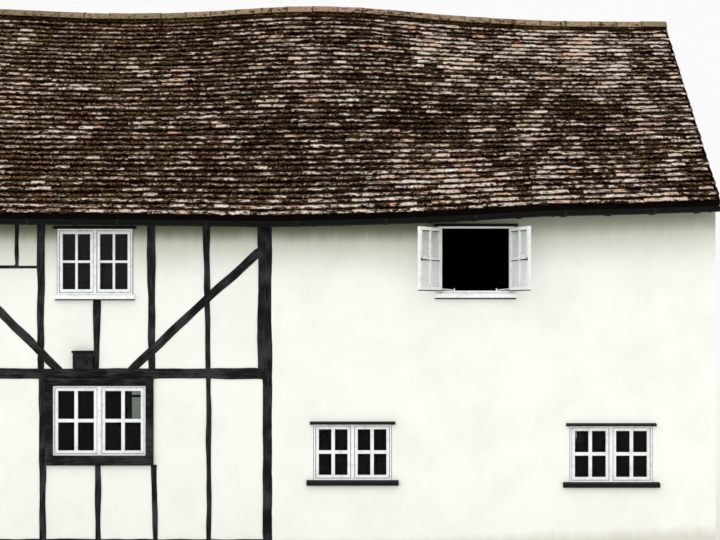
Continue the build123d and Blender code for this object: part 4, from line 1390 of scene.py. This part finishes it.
@dataclass
class Joinery:
    """Glazing bars and casement fittings, in millimetres."""

    frame_out: float = 4.0          # frames stand this far out of the wall
    leaf_back: float = 10.0         # shut leaves stand this far back in their frames
    frame_bar: float = 18.0
    play: float = 3.0               # round an open leaf in its frame
    turns: tuple[float, float] = (129.7, 114.8)     # of the open leaves, in degrees
    bead: float = 5.0               # width of the painted shade line beside a frame
    sills: tuple = ((-2552, 3093, 908, 56), (1773, 3115, 921, 64))     # middle, top, width, depth
    fastener_parts: tuple = (((-11, -1, -30), (5, 4, 6), 0.002),       # plate
                             ((-9, 3, -24), (3, 22, -8), 0.003),       # neck
                             ((-84, 12, -22), (5, 22, -10), 0.004))    # lever

    def leaves(self, window: Opening) -> list[Casement]:
        """The two shut leaves of a window.

        Args:
            window: Opening that they close.

        Returns:
            Both leaves.
        """
        leaf = (window.width - 2 * self.frame_bar - window.mullion) / 2
        y = FRONT_Y / MM - self.frame_out + self.leaf_back
        return [Casement(start, y, window.z + self.frame_bar, leaf,
                         window.height - 2 * self.frame_bar, window.bar)
                for start in (window.x - window.mullion / 2 - leaf, window.x + window.mullion / 2)]

    def glaze(self) -> None:
        """Puts the glazing bars into the shut front windows."""
        for name in ("upper_left", "lower_left", "lower_middle", "lower_right"):
            leaves = self.leaves(WINDOWS[name])
            assemble("glazing_bars_" + name, [part for leaf in leaves for part in leaf.bars()],
                     Finishes.WHITE_PAINT, "white_paint", smooth=True)
            assemble("leaf_gaps_" + name, [part for leaf in leaves for part in leaf.gap()],
                     Finishes.BEDDING, "white_paint")
        assemble("dirt_lines", self.dirt_lines(), Finishes.BEDDING, "white_paint")

    def dirt_lines(self) -> list[bpy.types.Object]:
        """Painted shade: dark beads where the frames and the undersides of the sills meet the wall.

        Returns:
            The beads.
        """
        wall, beads = FRONT_Y / MM, []
        for name in ("upper_left", "lower_middle", "lower_right"):
            window = WINDOWS[name]
            for edge in (window.x - window.width / 2 - self.bead, window.x + window.width / 2):
                beads.append(Bench.bar(mm(edge, wall - 1, window.z),
                                       mm(edge + self.bead, wall + 3, window.z + window.height),
                                       0.0))
        for x, top, width, deep in self.sills:
            left, right, foot = x - width / 2, x + width / 2, top - deep
            beads.append(Bench.bar(mm(left + 6, wall - 46, foot - 3),
                                   mm(right - 6, wall + 3, foot + 2), 0.0))
            beads.append(Bench.bar(mm(left, wall - 6, foot - 14), mm(right, wall + 3, foot - 2),
                                   0.0))
        return beads

    def glaze_back(self) -> None:
        """Puts glazing bars into the back windows, as in the front ones."""
        leaves = [leaf for name in ("upper_left", "lower_left", "lower_right", "upper_right_back")
                  for leaf in self.leaves(WINDOWS[name])]
        for name, parts, finish in (
                ("glazing_bars_back", [part for leaf in leaves for part in leaf.bars()],
                 Finishes.WHITE_PAINT),
                ("leaf_gaps_back", [part for leaf in leaves for part in leaf.gap()],
                 Finishes.BEDDING)):
            piece = Bench.join(parts, name)
            Bench.mirror(piece, (0, 1, 0))
            finish_piece(piece, finish, "white_paint")

    def open_leaves(self) -> list[Casement]:
        """The two leaves that stand open.

        Returns:
            Left and right leaf.
        """
        window = WINDOWS["open"]
        edge = window.width / 2 - self.frame_bar
        foot = window.z + self.frame_bar + self.play
        height = window.height - 2 * (self.frame_bar + self.play)
        return [Casement(window.x + hand * edge, FRONT_Y / MM - self.frame_out, foot,
                         edge - self.play, height, turn=turn, right=hand > 0)
                for hand, turn in zip((-1, 1), self.turns)]

    def glaze_open(self) -> None:
        """Puts glazing bars and fittings on the two open leaves."""
        leaves = self.open_leaves()
        # painted shade: dark strips under the bottom rail of each open leaf, and under its top rail
        # and level bar
        dirt = [leaf.place((0, 3, -10), (leaf.width, leaf.thick - 3, 1), 0.0) for leaf in leaves]
        dirt += [line for leaf in leaves for line in leaf.painted_shade_strips()]
        assemble("leaf_dirt_lines", dirt, Finishes.BEDDING, "white_paint")
        assemble("glazing_bars_open", [part for leaf in leaves for part in leaf.bars()],
                 Finishes.WHITE_PAINT, "white_paint", smooth=True)
        assemble("casement_fittings", [part for leaf in leaves for part in self.fastener(leaf)],
                 Finishes.IRONWORK, "ironwork", smooth=True)
        painted = [part for leaf in leaves for part in [self.curl(leaf)] + self.stay(leaf)]
        assemble("painted_fittings", painted, Finishes.WHITE_PAINT, "white_paint", smooth=True)

    @staticmethod
    def seat(leaf: Casement) -> tuple[float, float, float]:
        """Middle of the closing stile, on the face that is indoors when shut."""
        return leaf.width - leaf.stile / 2, leaf.thick, leaf.height / 2

    def fastener(self, leaf: Casement) -> list[bpy.types.Object]:
        """Plate, neck and lever of a casement fastener.

        Args:
            leaf: Open leaf.

        Returns:
            The parts in place.
        """
        parts = []
        for low, high, bevel in self.fastener_parts:
            corners = [tuple(a + b for a, b in zip(self.seat(leaf), corner))
                       for corner in (low, high)]
            parts.append(leaf.place(*corners, bevel))
        return parts

    def curl(self, leaf: Casement) -> bpy.types.Object:
        """Painted curled tail of a fastener, above its lever.

        Args:
            leaf: Open leaf.

        Returns:
            The curl in place.
        """
        stile, face, middle = self.seat(leaf)
        curl = Bench.start(bpy.ops.mesh.primitive_torus_add, major_radius=0.020,
                           minor_radius=0.0042, major_segments=24, minor_segments=8,
                           rotation=(math.pi / 2, 0, 0))
        Bench.settle(curl)
        Bench.edit(curl, lambda: Bench.cut((0, 0, 0.001), (0.5, 0, 1)))
        if leaf.right:
            Bench.mirror(curl, (1, 0, 0))
        place = mm(leaf.x + leaf.hand * (stile - 62), leaf.y + face + 19, leaf.z + middle + 6)
        curl.data.transform(Matrix.Translation(place))
        Bench.turn(curl, leaf.pivot, -leaf.hand * leaf.turn)
        return curl

    @staticmethod
    def stay(leaf: Casement) -> list[bpy.types.Object]:
        """Stay that holds the leaf open, from its bottom rail to a pin on the frame.

        Args:
            leaf: Open leaf.

        Returns:
            The parts in place.
        """
        angle = math.radians(leaf.turn) * -leaf.hand
        arm = mm(leaf.hand * 150.0, leaf.thick + 14.0, 0)
        start = leaf.pivot + Matrix.Rotation(angle, 3, "Z") @ arm
        start.z = (leaf.z + 22.0) * MM
        end = mm(leaf.x + leaf.hand * 175.0, FRONT_Y / MM + 12.0, leaf.z + 4.0)
        rod = Bench.rod(0.0045, start, end)
        pin = Bench.rod(0.006, end - mm(0, 0, 10), end + mm(0, 0, 22))
        boss = Bench.rod(0.007, start - mm(0, 0, 10), start + mm(0, 0, 10))
        return [rod, pin, boss]

    def build(self) -> None:
        """Makes the details of every window."""
        self.glaze()
        self.glaze_back()
        self.glaze_open()


@dataclass
class PlankDoor:
    """Boards, strap hinges and ring latch on the outside of the back door, in millimetres."""

    left: float = 16.0
    right: float = 736.0
    foot: float = 306.0
    head: float = 2014.0
    face: float = 2430.0            # outer face of the CAD door
    boards: int = 5
    joint: float = 3.0              # open joint between two boards
    straps: tuple[float, float] = (620.0, 1690.0)   # heights of the feet of the strap hinges
    strap_long: float = 520.0
    strap_wide: float = 42.0
    latch_in: float = 80.0          # from the closing edge to the latch
    ring_middle: float = 1120.0
    ring_pin: float = 1165.0

    def build(self) -> None:
        """Makes the boards and the ironwork."""
        width = (self.right - self.left) / self.boards
        edges = [self.left + i * width for i in range(self.boards)]
        boards = [Bench.bar((x * MM, (self.face - 6) * MM, self.foot * MM),
                            ((x + width - self.joint) * MM, (self.face + 9) * MM,
                             self.head * MM)) for x in edges]
        HewnFrame.mark_grain(assemble("door_boards", boards, Finishes.TARRED_OAK, "black_timber"))
        iron = []
        for z in self.straps:
            iron.append(Bench.bar(mm(self.left, self.face + 8, z),
                                  mm(self.left + self.strap_long, self.face + 13,
                                     z + self.strap_wide), 0.002))
            iron.append(Bench.rod(0.009, mm(self.left - 4, self.face + 14, z - 8),
                                  mm(self.left - 4, self.face + 14, z + 50)))
        latch = self.right - self.latch_in
        ring = Bench.start(bpy.ops.mesh.primitive_torus_add, major_radius=0.045,
                           minor_radius=0.007, major_segments=28, minor_segments=10,
                           rotation=(math.pi / 2, 0, 0),
                           location=mm(latch, self.face + 20, self.ring_middle))
        Bench.settle(ring)
        iron.append(ring)
        iron.append(Bench.rod(0.022, mm(latch, self.face + 8, self.ring_pin),
                              mm(latch, self.face + 20, self.ring_pin)))
        assemble("door_ironwork", iron, Finishes.IRONWORK, "ironwork", smooth=True)


@dataclass
class Studio:
    """Pale floor, soft light and the camera."""

    lens: float = 66.0
    eye: tuple[float, float, float] = (0.46, -17.45, 2.8)
    drop: float = 50.0      # the horizon lies this many picture rows below the middle
    picture: float = 720.0
    lamp_list: tuple = (("front", (-5.5, -12, 12), 1.48), ("back", (6, 12, 13), 1.0))
    lamp_spread: float = 100.0      # degrees of sky that each lamp stands for
    daylight: float = 0.66          # strength of the air on the house
    backdrop: float = 0.96          # strength of the air that is looked at

    def camera(self) -> None:
        """Sets the camera at the viewing angle of the photograph."""
        bpy.ops.object.camera_add(location=self.eye, rotation=(math.pi / 2, 0, 0))
        camera = bpy.context.object
        camera.data.lens = self.lens
        camera.data.sensor_width = 36.0
        camera.data.sensor_fit = "HORIZONTAL"
        camera.data.shift_y = self.drop / self.picture
        camera.data.clip_end = 300.0
        bpy.context.scene.camera = camera

    def floor(self) -> None:
        """Lays the floor."""
        floor = Bench.start(bpy.ops.mesh.primitive_plane_add, size=90.0, location=(0, 0, 0))
        floor.name = "studio_floor"
        s = Shader(bpy.data.materials.new("matt_floor_paint"))
        floor.data.materials.append(s.finish({"Base Color": linear("#E2E1DD"), "Roughness": 0.95}))
        floor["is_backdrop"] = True

    def lamps(self) -> None:
        """Hangs the lamps: two broad soft skies of light, the stronger in front and above."""
        for name, place, strength in self.lamp_list:
            bpy.ops.object.light_add(type="SUN", location=place)
            lamp = bpy.context.object
            lamp.name = "lamp_" + name
            lamp.data.angle = math.radians(self.lamp_spread)
            lamp.data.energy = strength
            lamp.rotation_euler = (-Vector(place)).to_track_quat("-Z", "Y").to_euler()

    def air(self) -> None:
        """Lights the space round the house evenly, with a white backdrop for what looks at it."""
        world = bpy.data.worlds.new("studio")
        bpy.context.scene.world = world
        s = Shader(world)
        seen = s.add("LightPath")
        looks = seen.outputs["Is Camera Ray"]
        for way in ("Is Transmission Ray", "Is Glossy Ray"):
            looks = s.add("Math", {0: looks, 1: seen.outputs[way]}, operation="MAXIMUM")
        level = s.add("MapRange", {"Value": looks, "To Min": self.daylight,
                                   "To Max": self.backdrop})
        air = s.add("Background", {"Color": linear("#FFFFFF"), "Strength": level})
        s.add("OutputWorld", {"Surface": air})

    def build(self) -> None:
        """Sets up the whole studio."""
        self.camera()
        self.floor()
        self.lamps()
        self.air()
        bpy.context.scene.view_settings.view_transform = "Standard"


@dataclass
class Shell:
    """The CAD solids that keep their own shape and only get a finish."""

    leaf_out: float = 0.02          # panes further out than this stand in the open leaves

    def dress(self) -> None:
        """Coats the solids."""
        coats = {
            Finishes.LIMEWASH: "front_infill_upper front_infill_lower back_infill_upper "
                               "back_infill_lower gable_infill",
            Finishes.LIME_RENDER: "front_render_upper_piers front_render_upper_spandrels "
                                  "front_render_lower_piers front_render_lower_spandrels "
                                  "back_render party_wall",
            Finishes.WHITE_PAINT: "window_upper_left window_lower_left window_lower_middle "
                                  "window_lower_right window_open_frame open_casements "
                                  "back_windows casement_hinges",
            Finishes.BLACK_PAINT: "black_sills fascias drip_boards",
            Finishes.IRONWORK: "gutter_brackets",
            Finishes.GUTTER_BLACK: "gutter_front gutter_back",
            Finishes.GLASS: "front_glass back_glass",
            Finishes.TARRED_BRICK: "plinth_sides plinth_ends",
            Finishes.FLOOR_BRICK: "ground_floor",
            Finishes.BEDDING: "roof_front roof_back",
        }
        for finish, names in coats.items():
            for name in names.split():
                data = NODES[name].data
                data.materials.clear()
                data.materials.append(finish.coat())
                LOG.info("%s: %s", name, finish.name.lower())
        panes = NODES["front_glass"].data
        panes.materials.append(Finishes.LEAF_GLASS.coat())
        for pane in panes.polygons:
            if pane.center.y < FRONT_Y - self.leaf_out:
                pane.material_index = 1


@dataclass
class Rainwater:
    """Union collars on the gutters, where two lengths meet."""

    places: tuple[float, ...] = (-3700.0, -1880.0, -60.0, 1515.0, 2616.0, 4378.0)
    wide: float = 34.0
    proud: float = 5.0

    def collar(self, x: float, front: bool) -> bpy.types.Object:
        """A collar round the gutter at one place, swollen from the gutter's own section there.

        Args:
            x: Place along the house in millimetres.
            front: True on the front of the house.

        Returns:
            The collar.
        """
        node = NODES["gutter_front" if front else "gutter_back"]
        collar = bpy.data.objects.new("collar", node.data.copy())
        bpy.context.collection.objects.link(collar)
        start, end = (x - self.wide / 2) * MM, (x + self.wide / 2) * MM

        def cut() -> None:
            """Keeps a short length of the gutter."""
            bpy.ops.mesh.remove_doubles(threshold=WELD)
            for place, normal in ((start, (1, 0, 0)), (end, (-1, 0, 0))):
                Bench.cut((place, 0, 0), normal)

        Bench.edit(collar, cut)
        middle = sum((v.co for v in collar.data.vertices), Vector()) / len(collar.data.vertices)
        for vertex in collar.data.vertices:
            away = vertex.co - middle
            away.x = 0.0
            if away.length > 0.0:
                vertex.co += away.normalized() * self.proud * MM
        return collar

    def build(self) -> None:
        """Sets the collars on both gutters."""
        collars = [self.collar(x, front) for front in (True, False) for x in self.places]
        assemble("gutter_collars", collars, Finishes.GUTTER_BLACK, "gutter_black")


@dataclass
class Carpentry:
    """Timbers of the house, in the frame outside and the floors and roof inside."""

    hewn: HewnFrame = HewnFrame()
    rough: HewnFrame = HewnFrame(wander=3.0, arris=6.0, spacing=400.0)
    joined_wander: float = 1.5      # wander of what was planed at a bench, in millimetres

    def build(self) -> None:
        """Works every timber."""
        tarred, black, oak = Finishes.TARRED_OAK, "black_timber", "old_oak"
        plumb, level = [Cut.PLUMB, Cut.DEEP], [Cut.LEVEL]
        for node, cuts in (("main_posts", level), ("front_studs", level), ("back_studs", level),
                           ("front_braces", level), ("back_braces", level),
                           ("horizontal_beams", plumb), ("gable_studs", [Cut.LEVEL, Cut.DEEP]),
                           ("sill_beams", plumb)):
            self.hewn.work("hewn_" + node, node, cuts, tarred, black)
        for node in ("window_surrounds", "beam_cap", "back_door"):
            self.hewn.work("worked_" + node, node, level, tarred, black, self.joined_wander)
        self.rough.work("hewn_cross_beams", "cross_beams", [Cut.DEEP], tarred, black)
        self.rough.work("hewn_tie_beams", "tie_beams", [Cut.DEEP], Finishes.OLD_OAK, oak)
        for node in ("floor_joists", "wall_plates", "rafters_front", "rafters_back", "upper_floor"):
            self.rough.work("sawn_" + node, node, [], Finishes.OLD_OAK, oak, 0.0)


def keep_box(low_high: tuple, key: str, sizes: dict) -> None:
    """Notes a box as plain numbers.

    Args:
        low_high: Lowest and highest corner.
        key: Name of the box.
        sizes: Where it is noted.
    """
    sizes[key] = [[float(value) for value in corner] for corner in low_high]


def clear_defaults() -> None:
    """Removes the objects that Blender starts with."""
    for name in ("Cube", "Light", "Camera"):
        if name in bpy.data.objects and bpy.data.objects[name] not in NODES.values():
            bpy.data.objects.remove(bpy.data.objects[name])


def main() -> None:
    """Builds the looks of the house piece by piece."""
    logging.basicConfig(level=logging.INFO, format="%(message)s", stream=sys.stdout)
    sizes: dict = {}
    keep_box(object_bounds(), "cad", sizes)
    clear_defaults()
    Shell().dress()
    Carpentry().build()
    Roof().build()
    PlankDoor().build()
    Joinery().build()
    Rainwater().build()
    Studio().build()
    keep_box(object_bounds(), "looks", sizes)
    LOG.info("looks finished")


if __name__ == "__main__":
    main()
